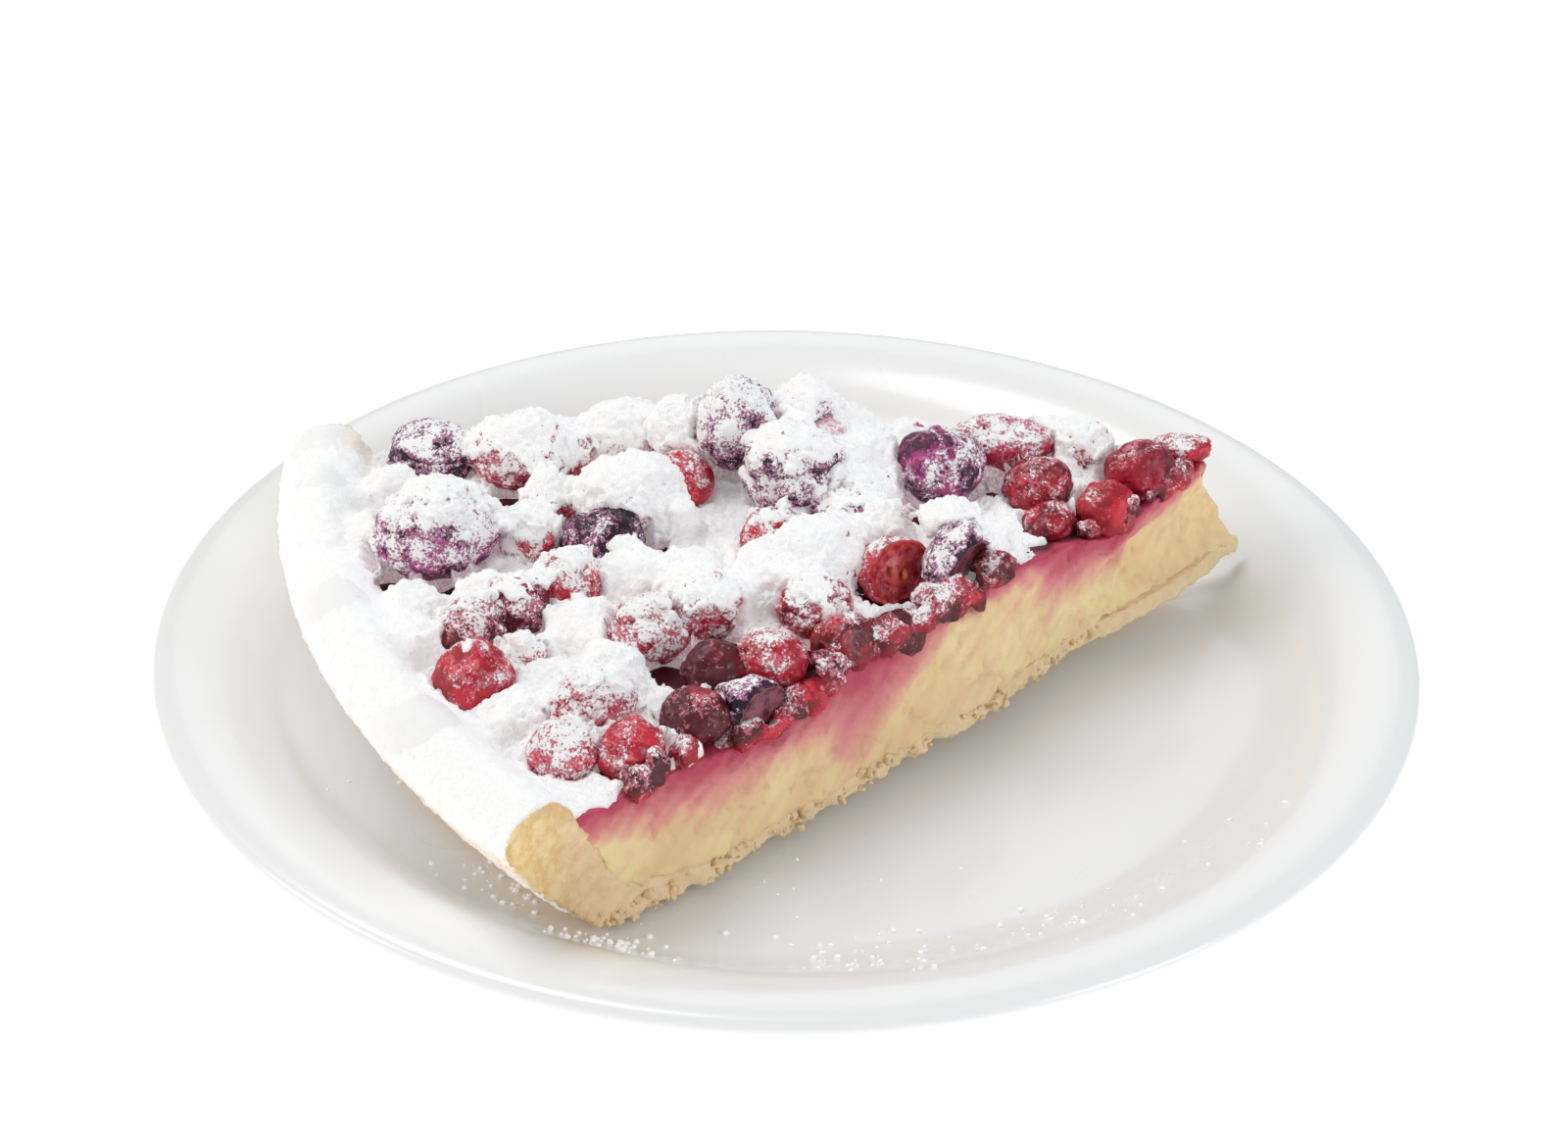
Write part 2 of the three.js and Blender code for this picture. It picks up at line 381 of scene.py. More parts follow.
def dusting_group():
    tree = bpy.data.node_groups.new("sugar dusting", "ShaderNodeTree")
    for name, way in (("Frost", "INPUT"), ("Grain", "INPUT"), ("Mask", "OUTPUT")):
        tree.interface.new_socket(name, in_out=way, socket_type="NodeSocketFloat")
    ins = tree.nodes.new("NodeGroupInput")
    outs = tree.nodes.new("NodeGroupOutput")
    where = own_place(tree)
    fine = add(tree, "ShaderNodeTexNoise", {"Vector": where, "Scale": ins.outputs["Grain"],
               "Detail": 2.0, "Roughness": 0.6}).outputs["Fac"]
    grains = added(tree, fine, times(tree, noise_node(tree, where, 2.0, 2.0), 0.36))
    bar = add(tree, "ShaderNodeMapRange", {"Value": ins.outputs["Frost"],
              "To Min": BARE_BAR, "To Max": COVERED_BAR}).outputs["Result"]
    over = math_node(tree, "SUBTRACT", grains, bar)
    wire(tree, outs, Mask=spread(tree, over, -0.05, 0.06))
    return tree


SUGAR_WHITE = srgb(253, 252, 252)
dusting = dusting_group()
print(dusting.name, len(dusting.nodes), "nodes")


def dusted(tree, frost, grain_mm=0.38):
    """1 where a grain of sugar lies, by how much frost there is."""
    made = add(tree, "ShaderNodeGroup", node_tree=dusting)
    made.inputs["Grain"].default_value = 1000 / grain_mm
    tree.links.new(frost, made.inputs["Frost"])
    return made.outputs["Mask"]


# %% [markdown]
# ## The plate
#
# A porcelain side plate: a flat well, a wall that sweeps up, a rounded rim, and a foot
# ring underneath. It is a turned form, so its half section is drawn once and spun. The
# arcs of the section are worked out, which keeps the glaze's reflections clean.

# %% The plate's section
RIM_RADIUS, WELL_RADIUS, PLATE_HEIGHT = 82.5, 60.0, 16.0
HOLLOW_RADIUS = 14.0
HOLLOW_POINTS, SHOULDER_POINTS = 14, 18


def arc(center, radius, start, end, count):
    """Points of an arc in the section plane, angles in radians from the outward axis."""
    angles = np.linspace(start, end, count)
    x, y = center
    return [(x + radius * math.cos(a), y + radius * math.sin(a)) for a in angles]


def curve(start, control, end, count):
    """Points of a curve that leaves start towards control and arrives at end from it."""
    shares = np.linspace(0, 1, count)
    return [tuple((1 - t) ** 2 * np.array(start) + 2 * t * (1 - t) * np.array(control)
                  + t * t * np.array(end)) for t in shares]


def plate_section():
    floor = WELL_FLOOR / MM
    rise = PLATE_HEIGHT - floor
    run = RIM_RADIUS - WELL_RADIUS
    slope = 2 * math.atan2(rise, run)  # where the hollow and the shoulder meet
    shoulder = run / math.sin(slope) - HOLLOW_RADIUS
    up = math.pi / 2
    points = [(0, floor), (WELL_RADIUS * 0.5, floor)]
    points += arc((WELL_RADIUS, floor + HOLLOW_RADIUS), HOLLOW_RADIUS,
                  -up, slope - up, HOLLOW_POINTS)
    points += arc((RIM_RADIUS, PLATE_HEIGHT - shoulder), shoulder,
                  up + slope, up, SHOULDER_POINTS)[1:]
    points += curve((83.1, 15.95), (85, 15.9), (85, 14.4), 8)
    points += curve((84.9, 14.0), (84.8, 13), (82, 12), 6)[:-1]
    points += curve((82, 12), (75, 11), (70, 7), 10)[:-1]
    points += curve((70, 7), (64, 3.6), (52, 3.6), 10)
    points += [(50.3, 3.5), (49.6, 3), (49.2, 0.4), (48.8, 0.02), (44.2, 0.02), (43.8, 0.4),
               (43.4, 3), (42.7, 3.5), (0, 3.6)]
    return points


# %% The plate's form
PLATE_STEPS = 192
SEAM = 0.001  # points nearer than this are one


def make_plate():
    bm = bmesh.new()
    verts = [bm.verts.new((radius, 0, height)) for radius, height in plate_section()]
    edges = [bm.edges.new(pair) for pair in zip(verts, verts[1:])]
    bmesh.ops.spin(bm, geom=verts + edges, cent=(0, 0, 0), axis=(0, 0, 1),
                   angle=math.tau, steps=PLATE_STEPS, use_merge=True)
    bmesh.ops.remove_doubles(bm, verts=bm.verts, dist=SEAM)
    bmesh.ops.recalc_face_normals(bm, faces=bm.faces)
    plate = to_object("porcelain_plate", bm)
    plate.data.transform(Matrix.Scale(MM, 4))
    return plate


plate = make_plate()
print("plate", len(plate.data.polygons), "faces")

# %% [markdown]
# Glaze is a clear layer of glass over a white body. Its surface is never quite flat, so
# a very shallow, wide bump bends the reflections a little, and the roughness varies by
# a hair. Both change slowly over the plate: fine noise would show as blotches.


# %% Glaze
def make_glaze():
    material, tree, shader = new_material(
        "white glaze", Coat_Weight=0.4, Coat_Roughness=0.12, Specular_IOR_Level=0.4)
    where = own_place(tree)
    tint, sheen, swell = (noise_node(tree, where, size, 0.0) for size in (50, 30, 45))
    wire(tree, shader,
         Base_Color=mix_color(tree, tint, srgb(244, 244, 244), srgb(245, 245, 245)),
         Roughness=spread(tree, sheen, 0.3, 0.7, 0.27, 0.29),
         Normal=bump(tree, swell, 0.03, 0.04))
    return material


finish_piece(plate, "plate_glaze", ["plate"], make_glaze())

# %% [markdown]
# ## Pastry and custard
#
# Both are cut from a turned form, so each starts as a flat section that is spun through
# the slice's angle. An even skin of small squares then carries crumbs, tears and knife
# marks, made by moving its points: the crumb is real geometry, not paint.


# %% A wedge turned from a section
WEDGE_STEPS = 36


def turned_wedge(name, section):
    bm = bmesh.new()
    verts = [bm.verts.new((-radius, 0, height)) for radius, height in section]
    face = bm.faces.new(verts)
    bmesh.ops.spin(bm, geom=[face, *face.edges, *verts], cent=(0, 0, 0), axis=(0, 0, 1),
                   angle=SLICE_ANGLE, steps=WEDGE_STEPS)
    bmesh.ops.remove_doubles(bm, verts=bm.verts, dist=SEAM)
    bmesh.ops.holes_fill(bm, edges=[e for e in bm.edges if e.is_boundary])
    bmesh.ops.recalc_face_normals(bm, faces=bm.faces)
    return to_object(name, bm)


INNER_WALL = (
    [(0, 3), (92, 3)] + curve((92, 3), (108, 3), (114.6, 5), 8)[1:]
    + curve((114.6, 5), (118, 6.6), (118.6, 10), 8)[1:] + [(122.8, CUSTARD_TOP)]
)
RIM = (
    curve((122.8, CUSTARD_TOP), (123.6, 22), (127.4, 22.6), 10)[1:]
    + curve((127.4, 22.6), (133, 21.4), (133.6, 19), 10)[1:]
    + curve((133.6, 19), (131, 12), (121.2, 1.6), 10)[1:]
    + curve((121.2, 1.6), (120.5, 0), (BASE_RADIUS, 0), 5)[1:]
)
SKIN_SIZE = 0.6  # mm, squares of the even skin
print("shell section", len(INNER_WALL + RIM) + 1, "points")


# %% The bow of the near cut
def bowed(reach):
    """Share of the bow in the near cut: 1 in its middle, 0 towards the tip and the rim."""
    return step(36, 56, reach) * (1 - step(104, 121, reach))


def near_bow(points):
    """How far the near cut's face leans out past the straight knife line, in mm."""
    height = points[:, 2]
    middle = bowed(depths(points)[0])
    lean = 2.6 * (1 - height / 17) * middle
    return lean - 0.6 * step(12, 19, height) * middle


# %% Pastry form
def make_pastry():
    pastry = turned_wedge("pastry_shell", INNER_WALL + RIM + [(0, 0)])
    voxel(pastry, SKIN_SIZE, relax=2)
    mesh = pastry.data
    points = get_points(mesh)
    normals = get_normals(mesh)
    reach, near, far = depths(points)
    height = points[:, 2]
    # The rim was pressed by hand: it waves along its crest and bulges along its side.
    rim = step(121, 128, reach) * step(6, 16, height)
    bearing = np.degrees(np.arctan2(-points[:, 1], -points[:, 0]))
    waves = 0.5 * np.sin(bearing * 0.42) + 0.3 * np.sin(bearing * 0.95 + 1)
    points[:, 2] += rim * waves
    points += normals * (0.35 * rim * lumps(points, 9, 3))[:, None]
    # A broken face shows coarse crumb, the baked outside a fine one.
    cut = np.maximum(1 - step(0.3, 2.2, near), 1 - step(0.3, 2.2, far))
    crumb = lumps(points, 2.4, 5, 4)
    fine = puffs(points, 1.3, 8)
    # The base is ragged along both cuts, and its foot comes out by the tip.
    face_near = (1 - step(0.2, 3.5, near))[:, None] * NEAR_OUT
    low = step(34, 44, reach) * (1 - step(112, 119, reach)) * (1 - step(3.0, 5.0, height))
    ragged = 0.2 + 0.8 * lumps(points * [1, 1, 0.7], 4.0, 11, 3)
    toe = step(5, 16, reach) * (1 - step(24, 33, reach)) - 0.6 * (1 - step(3, 8, reach))
    lean = near_bow(points) * 0.6 + low * np.clip(ragged, -1.0, 1.2) + toe * (0.9 + 0.5 * ragged)
    points += face_near * lean[:, None]
    face_far = (1 - step(0.2, 3.5, far))[:, None] * FAR_OUT
    lean = low * np.clip(0.3 + 1.2 * lumps(points, 6, 14, 3), -0.5, 1.6)
    points += face_far * lean[:, None]
    rough = cut * (0.36 * crumb + 0.26 * fine - 0.15) + (1 - cut) * 0.10 * crumb
    points += normals * rough[:, None]
    # The underside frays at the cut edge, and stays above the plate.
    fray = np.clip(0.5 + 1.2 * lumps(points, 4, 17, 2), 0, 1.6)
    fray = cut * (1 - step(0, 1.6, height)) * fray
    points[:, 2] = np.maximum(points[:, 2] + 0.45 * fray, 0.02)
    set_points(mesh, points)
    # Sugar lies on the rim and down most of its outer wall, and keeps off the cuts.
    wall = step(1.6, 5.5, height + 1.6 * lumps(points, 6, 21, 2))
    frost = wall * step(0.4, 1.6, near) * step(0.2, 0.8, far) * step(118, 121, reach)
    note(mesh, "frost", frost)
    outer = step(122.5, 131.5, reach + 1.2 * lumps(points, 4, 23, 2))
    low_edge = 0.6 * (1 - step(0.4, 3.0, height + lumps(points, 4, 25)))
    note(mesh, "baked", np.maximum(outer, low_edge))
    note(mesh, "pale", 1 - step(114, 127, reach + 1.5 * lumps(points, 4, 27, 2)))
    on_plate(pastry)
    return pastry


pastry = make_pastry()

# %% [markdown]
# Shortcrust is yellow inside and browner where the tin baked it. A cell pattern darkens
# the joints between crumbs. The point numbers "baked" and "pale" say where each colour
# lies, and "frost" where the sugar has fallen.


# %% Baked pastry
def make_baked():
    material, tree, shader = new_material("baked shortcrust", Specular_IOR_Level=0.25)
    where = own_place(tree)
    crumb = noise_node(tree, where, 1.8, 6.0, 0.65)
    light = spread(tree, crumb, 0.35, 0.65)
    cell = add(tree, "ShaderNodeTexVoronoi", {"Vector": where, "Scale": 1000 / 1.1})
    joint = spread(tree, cell.outputs["Distance"], 0.15, 0.75, 0.0, 0.12)
    inside = mix_color(tree, light, srgb(228, 190, 140), srgb(243, 214, 168))
    outside = mix_color(tree, light, srgb(232, 190, 124), srgb(248, 222, 168))
    color = mix_color(tree, noted(tree, "baked"), inside, outside)
    color = mix_color(tree, times(tree, noted(tree, "pale"), 0.75), color, srgb(248, 224, 184))
    color = mix_color(tree, joint, color, srgb(212, 176, 126))
    mask = dusted(tree, noted(tree, "frost"), 0.5)
    normal = bump(tree, crumb, 0.5, 0.5)
    normal = bump(tree, noise_node(tree, where, 0.5, 4.0, 0.7), 0.5, 0.25, normal)
    wire(tree, shader,
         Base_Color=mix_color(tree, mask, color, SUGAR_WHITE),
         Roughness=spread(tree, mask, 0.0, 1.0, 0.72, 0.95),
         Normal=bump(tree, mask, 0.35, 0.3, normal))
    return material


baked = make_baked()
finish_piece(pastry, "shortcrust", ["pastry"], baked)

# %% [markdown]
# The custard was cut while soft. The knife dragged it into smears and left a step near
# the tip, where it stopped. The berries' juice has run down into it from above, deep in
# some places and hardly at all in others. The depth of the stain along the cut is a
# short list, read off the photograph, and each point keeps its own share of juice.

# %% Custard section, and lines read along the cut
# height, how far back from the tip the face has slumped there
SLUMP = ((3.0, 1.0), (6.0, 2.8), (8.0, 3.4), (11.0, 5.6), (15.0, 8.2), (17.0, 8.6),
         (18.6, 7.8), (30.0, 7.0))
# distance from the tip along the near cut, height there: the stain's foot, the top's edge
STAIN_FOOT = (
    (0, 17), (10, 16), (16, 13.5), (24, 12), (29, 9.5), (33, 7.5), (38, 8), (43, 13),
    (50, 16), (58, 14.5), (65, 12), (68.5, 8), (71, 3), (74, 1.5), (77.5, 4), (81, 8.5),
    (86, 10), (91, 8), (100, 8), (105, 8.5), (113, 10.5), (120, 13), (125, 15.5),
)
NEAR_TOP = (
    (0, 18.4), (14, 18), (20, 17.2), (28, 15.2), (35, 17.6), (42, 18.6), (54, 17.6),
    (64, 18.2), (72, 18), (80, 17.2), (85, 16.2), (90, 14.6), (96, 15.4), (106, 17),
    (114, 17.5), (124, 18),
)
OVERLAP = 0.5  # mm the custard reaches into the shell, so no gap shows


def custard_section():
    wall = [(r + (OVERLAP if r > 100 else 0), z - (OVERLAP if r < 118 else 0))
            for r, z in INNER_WALL[:-1]]
    return wall + [(123.2, CUSTARD_TOP), (0, CUSTARD_TOP)]


def slump_back(points):
    """Presses the custard's tip back to the face it has slumped to."""
    away = -(points @ TIP_OUT)
    limit = np.interp(points[:, 2], *zip(*SLUMP)) + 0.8 * lumps(points, 4, 31)
    return points - TIP_OUT * np.maximum(limit - away, 0)[:, None]


def juice(points, seed):
    """Share of juice in the custard, 1 under the berries to 0 below the stain."""
    reach = np.hypot(points[:, 0], points[:, 1])
    reach = reach + 0.5 * (points[:, 2] - 14) + 1.8 * lumps(points, 6, seed, 2)
    foot = np.interp(reach, *zip(*STAIN_FOOT)) + 1.5 * lumps(points, 4.0, seed + 1, 3)
    return np.clip((points[:, 2] - foot) / (CUSTARD_TOP + 0.6 - foot), 0, 1)


# %% Where the knife stopped
def knife_stop(points):
    """Where the knife was set down again: a step, 1 on the tip's side, and a curled fold."""
    reach, _, _ = depths(points)
    height = points[:, 2]
    leaning = reach + 0.43 * height + 0.6 * lumps(points, 3, 49, 2)
    share = (1 - step(11, 16, height)) * step(3.0, 6.0, height)
    fold = np.exp(-((leaning - 32.2) / 0.8) ** 2) - 1.6 * np.exp(-((leaning - 30.2) / 0.7) ** 2)
    return (1 - step(30.8, 31.6, leaning)) * share, fold * share


# %% Custard form
def make_custard():
    custard = voxel(turned_wedge("set_custard", custard_section()), SKIN_SIZE, relax=2)
    mesh = custard.data
    points = get_points(mesh)
    reach, near, far = depths(points)
    height = points[:, 2].copy()
    note(mesh, "juice", juice(points, 41))
    # Knife marks: long soft ridges that rise a little along the cut, with a few tears.
    sweep = np.stack([0.16 * (reach - 0.7 * height), height + 0.7 * reach,
                      0.3 * (near + far)], axis=1)
    drag = lumps(sweep + 0.5 * lumps(points, 9, 50)[:, None], 1.7, 51, 3)
    note(mesh, "drag", 0.5 + 0.5 * drag)
    tear = 1 - np.abs(lumps(points * [0.55, 0.55, 1], 5.5, 52, 3))
    broad = lumps(points, 11, 53)
    face = 1 - step(0.2, 3.2, near)
    notch, fold = knife_stop(points)
    relief = 0.17 * drag - 0.6 * step(0.90, 1.0, tear) + 0.6 * broad
    relief += 0.05 * lumps(points, 1.4, 54)
    points += NEAR_OUT * (face * (near_bow(points) + relief - 2.0 * notch + 0.8 * fold))[:, None]
    back = 1 - step(0.2, 3.2, far)
    relief = 0.25 * drag + 0.4 * broad - 0.5 * step(0.86, 1.0, tear)
    points += FAR_OUT * (back * relief)[:, None]
    points = slump_back(points)
    # The foot of the face is ragged where it meets the crumb.
    foot = (1 - step(3.5, 6.5, height)) * face
    points[:, 2] += foot * (0.8 * lumps(points, 3.0, 55, 2) - 0.2)
    # The berries have pressed the top down unevenly, most of all along the near cut.
    top_line = np.interp(reach, *zip(*NEAR_TOP)) + 0.5 * lumps(points, 3.4, 57, 2)
    inner_line = 17.3 + 0.6 * lumps(points, 5, 58, 2)
    target = top_line + (inner_line - top_line) * step(1.5, 6, near)
    points[:, 2] -= (CUSTARD_TOP - target) * step(11, CUSTARD_TOP, height)
    set_points(mesh, points)
    # Its top is dark with pulp and with painted shade for the hollows between the berries, but not
    # by the cuts.
    inward = np.minimum(near, far + 0.8) + lumps(points, 2, 59)
    top = step(0.35, 0.8, get_normals(mesh)[:, 2]) * step(13.0, 15.5, points[:, 2])
    note(mesh, "pulp", top * step(0.8, 2.4, inward))
    on_plate(custard)
    return custard


custard = make_custard()

# %% [markdown]
# Custard lets light in, so it has a little subsurface. Its colour is a ladder: cream at
# the foot, then blush, rose and deep red as the share of juice grows. The knife's drag
# shifts that share a little, which pulls the stain out into wisps.

# %% Custard, stained
# share of juice where the colour starts and is full, the colour
STAINS = (
    (-0.08, 0.50, srgb(228, 144, 144)),
    (0.30, 0.90, srgb(192, 70, 96)),
    (0.88, 1.08, srgb(128, 16, 38)),
)


def make_custard_finish():
    material, tree, shader = new_material(
        "stained custard", Subsurface_Weight=0.25, Subsurface_Scale=0.0022,
        Subsurface_Radius=(1.0, 0.6, 0.35), Specular_IOR_Level=0.35)
    where = own_place(tree)
    fine = noise_node(tree, where, 1.2, 4.0, 0.6)
    wisps = added(tree, times(tree, noted(tree, "drag"), 0.75), times(tree, fine, 0.25))
    cloud = noise_node(tree, where, 9, 3.0)
    share = added(tree, noted(tree, "juice"), spread(tree, wisps, 0.2, 0.8, -0.07, 0.07))
    color = mix_color(tree, spread(tree, cloud, 0.35, 0.65),
                      srgb(240, 208, 156), srgb(249, 228, 172))
    color = mix_color(tree, spread(tree, wisps, 0.45, 0.9, 0.0, 0.32), color, srgb(240, 202, 168))
    for start, full, stain in STAINS:
        color = mix_color(tree, spread(tree, share, start, full), color, stain)
    # The pulp colour is partly real pulp and partly painted shade: darker than pulp, for the deep
    # hollows between the berries.
    pulp = mix_color(tree, cloud, srgb(52, 6, 22), srgb(92, 8, 24))
    normal = bump(tree, wisps, 0.35, 0.4)
    wire(tree, shader,
         Base_Color=mix_color(tree, noted(tree, "pulp"), color, pulp),
         Roughness=spread(tree, wisps, 0.3, 0.7, 0.42, 0.6),
         Normal=bump(tree, noise_node(tree, where, 0.7, 3.0), 0.12, 0.08, normal))
    return material


finish_piece(custard, "custard", ["custard"], make_custard_finish())

# %% [markdown]
# ## The berries
#
# Three kinds of frozen fruit: large dark berries with soft dents, raspberries made of
# small beads, and redcurrants, smooth balls with a dry tip. Each starts as an icosphere
# and gets its kind's relief. The knife has gone through a few at the near cut and
# pressed the others flat. The list gives place and size in mm as the CAD does, then
# three shares: thick sugar on top, specks of sugar on the sides, and how bright the skin is.

# %% Where the berries lie
# along, across, height, half length, half width, half height, turn in degrees,
# then cap, specks, shade
BERRIES = {
    "darkberry": (
        (109.6, 29.4, 22.6, 8.6, 7.4, 6.6, 10, 0.46, 0.66, 1.0),
        (63, 15.4, 23.6, 7.4, 6.6, 6.4, -10, 0.56, 0.60, 0.35),
        (70.4, 6.4, 25.4, 6.6, 5.4, 6.8, 60, 0.34, 0.62, 0.45),
        (60.8, 4.6, 27.4, 4.2, 3.8, 3.8, 0, 0.75, 0.70, 0.5),
        (42.8, 12.2, 22.2, 6.2, 5.6, 5.4, 30, 0.05, 0.48, 0.95),
        (112.6, 5.6, 21, 6.6, 5.2, 4.2, 0, 0.0, 0.46, 0.3),
        (87.8, 28, 20, 5.6, 5, 4.6, 0, 0.05, 0.24, 0.0),
        (40.8, 34.6, 20.2, 5.2, 4.8, 6.2, 40, 0.42, 0.52, 0.2),
        (55.4, 21.6, 19.6, 5.2, 4.6, 4.4, 0, 0.35, 0.56, 0.8),
        (67.4, 63.4, 17.4, 4.8, 4.2, 4.6, 0, 0.0, 0.44, 0.4),
    ),
    "raspberry": (
        (99.6, 7.4, 21.8, 8.8, 6, 5.6, -8, 0.66, 0.60, 0.6),
        (84.6, 19.6, 22.4, 7.2, 5.8, 5.4, 15, 1.0, 0.80, 0.5),
        (86.4, 4.8, 23.6, 5, 4.4, 4.6, 0, 0.80, 0.80, 0.7),
        (79, 5.6, 24.2, 4.2, 4, 4.6, 0, 1.0, 0.80, 0.5),
        (80.4, 49.6, 20.4, 5.4, 4.8, 4.8, 30, 0.22, 0.58, 0.8),
        (74, 45.4, 21.2, 5.2, 4.8, 4.8, -20, 0.62, 0.60, 0.6),
        (59.4, 34.6, 21.6, 6.8, 5.2, 5, 20, 1.0, 0.80, 0.5),
        (59.6, 44.6, 20.4, 5, 4.2, 4.2, 35, 0.45, 0.45, 0.6),
        (15.4, 9.2, 19.4, 5, 4.4, 4.4, 20, 0.0, 0.14, 0.5),
        (34.8, 4.8, 21, 7.2, 4.6, 4.4, 0, 0.18, 0.48, 0.9),
        (86.8, 65.4, 20.2, 5.6, 4.2, 4.2, 10, 0.40, 0.58, 0.8),
    ),
    "redcurrant": (
        (101.4, 61.6, 21.4, 4.8, 4.8, 4.8, 0, 0.22, 0.28, 1.0),
        (103, 48, 20, 4.2, 4, 4, 0, 0.30, 0.42, 0.15),
        (97.8, 43.6, 20.2, 4.4, 4.2, 4.2, 20, 0.42, 0.32, 0.2),
        (96.2, 53.4, 19.4, 3, 2.8, 2.8, 0, 0.35, 0.72, 1.0),
        (89.4, 74.6, 19.4, 4.4, 4, 4.2, 0, 0.28, 0.56, 0.8),
        (81.2, 74, 19, 4.4, 3.8, 4.4, 40, 0.0, 0.24, 1.0),
        (73.8, 66.2, 18.8, 4.2, 3.8, 3.8, 0, 0.0, 0.14, 0.3),
        # redcurrant_08's low shade share is painted shade, for the hollow it lies in
        (71.6, 56.6, 19, 4, 4, 4, 0, 0.0, 0.02, 0.05),
        (64.8, 55.4, 19.6, 4.6, 4.2, 4.2, 0, 0.05, 0.34, 0.8),
        (55.6, 50, 18.6, 4.2, 3.8, 4.2, 40, 0.0, 0.28, 0.55),
        (60, 58, 16, 2.6, 2.4, 2.4, 0, 0.0, 0.10, 0.9),
        (48.6, 45, 16.6, 3.8, 3.2, 3.4, 45, 0.0, 0.0, 0.1),
        (49.2, 35.6, 20.2, 5, 4.6, 5, 45, 0.10, 0.40, 0.85),
        (29.6, 13.4, 19.8, 4.6, 4.2, 4.2, 0, 0.0, 0.23, 0.5),
        (20.4, 16.4, 17.6, 4, 3.8, 4.2, 0, 0.0, 0.14, 1.0),
        (28.2, 20.2, 17.6, 3.8, 3.4, 3.4, 45, 0.0, 0.22, 0.6),
        (23.4, 4.2, 20.2, 4.2, 3.8, 4, 0, 0.80, 0.60, 0.6),
        (95.2, 17.6, 20, 4.2, 4, 4, 0, 0.65, 0.56, 0.8),
        (78, 13.6, 21, 4.4, 4, 4.2, 0, 0.10, 0.30, 1.0),
        (65.2, 28.2, 20.6, 4.4, 4.2, 4.2, 0, 0.30, 0.46, 0.7),
        (91.6, 38, 20.6, 4.6, 4.4, 4.4, 0, 0.45, 0.50, 0.9),
        (97.4, 26.8, 20.6, 4.2, 4.2, 4.2, 0, 0.50, 0.70, 0.7),
        (47, 4, 20.4, 3.8, 3.6, 3.8, 0, 0.70, 0.50, 0.5),
        (53.4, 8.4, 21, 4.2, 4, 4.2, 0, 1.0, 0.80, 0.6),
        (117.6, 13.2, 19.4, 3.4, 3.2, 3.2, 0, 0.80, 0.80, 0.6),
        (9.6, 3.8, 19.9, 4.4, 2.8, 1.9, 0, 0.05, 0.44, 1.0),
    ),
}
PLACE, CAP, SPECKS, SHADE = slice(7), 7, 8, 9  # where these are in a row
# which way the cut faces, mm from the berry's middle, mm the flesh is hollow
CUT_THROUGH = {
    "darkberry_08": ((0.72, -0.58, -0.3), 1.3, 0.5),
    "darkberry_10": ((0.7, -0.7, 0.0), 2.0, 0.4),
    "redcurrant_13": ((0.5, -0.75, 0.35), 1.8, 1.3),
}


def every_berry():
    """Each berry's name, kind, row and seed, in order."""
    seed = 0
    for kind, rows in BERRIES.items():
        for number, row in enumerate(rows, 1):
            seed += 1
            yield f"{kind}_{number:02d}", kind, row, seed


print(len(list(every_berry())), "berries,", len(CUT_THROUGH), "of them cut")


# %% Relief of each kind
BEADS, BEAD_RADIUS = 44, 0.34


def any_way(rng, upright=1):
    """A random direction, less upright where upright is under 1."""
    return np.array(Vector((rng.gauss(0, 1), rng.gauss(0, 1), rng.gauss(0, upright))).normalized())


def wrinkled(unit, seed):
    """Dark berry: broad dents and two creases, on points of a unit ball."""
    dents = 0.10 * lumps(unit, 0.55, seed) + 0.14 * lumps(unit, 1.1, seed + 3)
    dents += 0.03 * lumps(unit, 0.2, seed)
    rng = random.Random(seed)
    for _ in range(2):
        across = any_way(rng)
        line = unit @ across - rng.uniform(-0.5, 0.5) + 0.25 * lumps(unit, 0.6, seed + 7)
        dents -= 0.07 * np.exp(-(line / 0.09) ** 2)
    return 1 + dents


def beaded(unit, seed):
    """Raspberry: a skin of small round beads, set in a spiral from top to foot."""
    turns = np.arange(BEADS) + 0.5
    level = 1 - 2 * turns / BEADS
    around = turns * math.pi * (3 - math.sqrt(5)) + seed
    ring = np.sqrt(1 - level ** 2)
    beads = np.stack([ring * np.cos(around), ring * np.sin(around), level], axis=1)
    beads += np.random.default_rng(seed).normal(size=beads.shape) * 0.05
    nearest = np.sqrt(np.maximum(2.0 - 2.0 * np.max(unit @ beads.T, axis=1), 0))
    bead = np.sqrt(np.clip(1 - (nearest / BEAD_RADIUS) ** 2, 0, 1))
    return 0.86 + 0.16 * bead + 0.12 * lumps(unit, 0.8, seed) + 0.03 * lumps(unit, 0.15, seed + 2)


def currant(unit, seed):
    """Redcurrant: a ball that has dented a little, with a small dry tip at one end."""
    tip = any_way(random.Random(seed), 0.6)
    dents = 0.13 * lumps(unit, 0.8, seed) + 0.07 * lumps(unit, 0.35, seed + 2)
    dents += 0.03 * lumps(unit, 0.14, seed)
    return 1 + dents + 0.14 * step(0.965, 0.99, unit @ tip)


RELIEF = {"darkberry": wrinkled, "raspberry": beaded, "redcurrant": currant}
FINENESS = {"darkberry": 6, "raspberry": 6, "redcurrant": 5}


# %% [markdown]
# The cuts are two flat planes, and soft fruit gives way at them. What stands out past a
# plane is pressed back until it only bulges. A berry that the knife went through is
# bisected, and its open rim is extruded inwards, ring by ring, to make a hollow of flesh.


# %% Pressed and cut
def press(points, out, bulge):
    """Flattens what stands out past a cut, so that it bulges by no more than a given mm."""
    past = points @ out
    beyond = past > 0
    points[beyond] += out * (bulge * np.tanh(past[beyond] / bulge) - past[beyond])[:, None]
    return points


def press_cuts(bm, near_bulge, far_bulge):
    points = np.array([v.co for v in bm.verts])
    points = press(press(points, NEAR_OUT, near_bulge), FAR_OUT, far_bulge)
    for vert, point in zip(bm.verts, points):
        vert.co = point


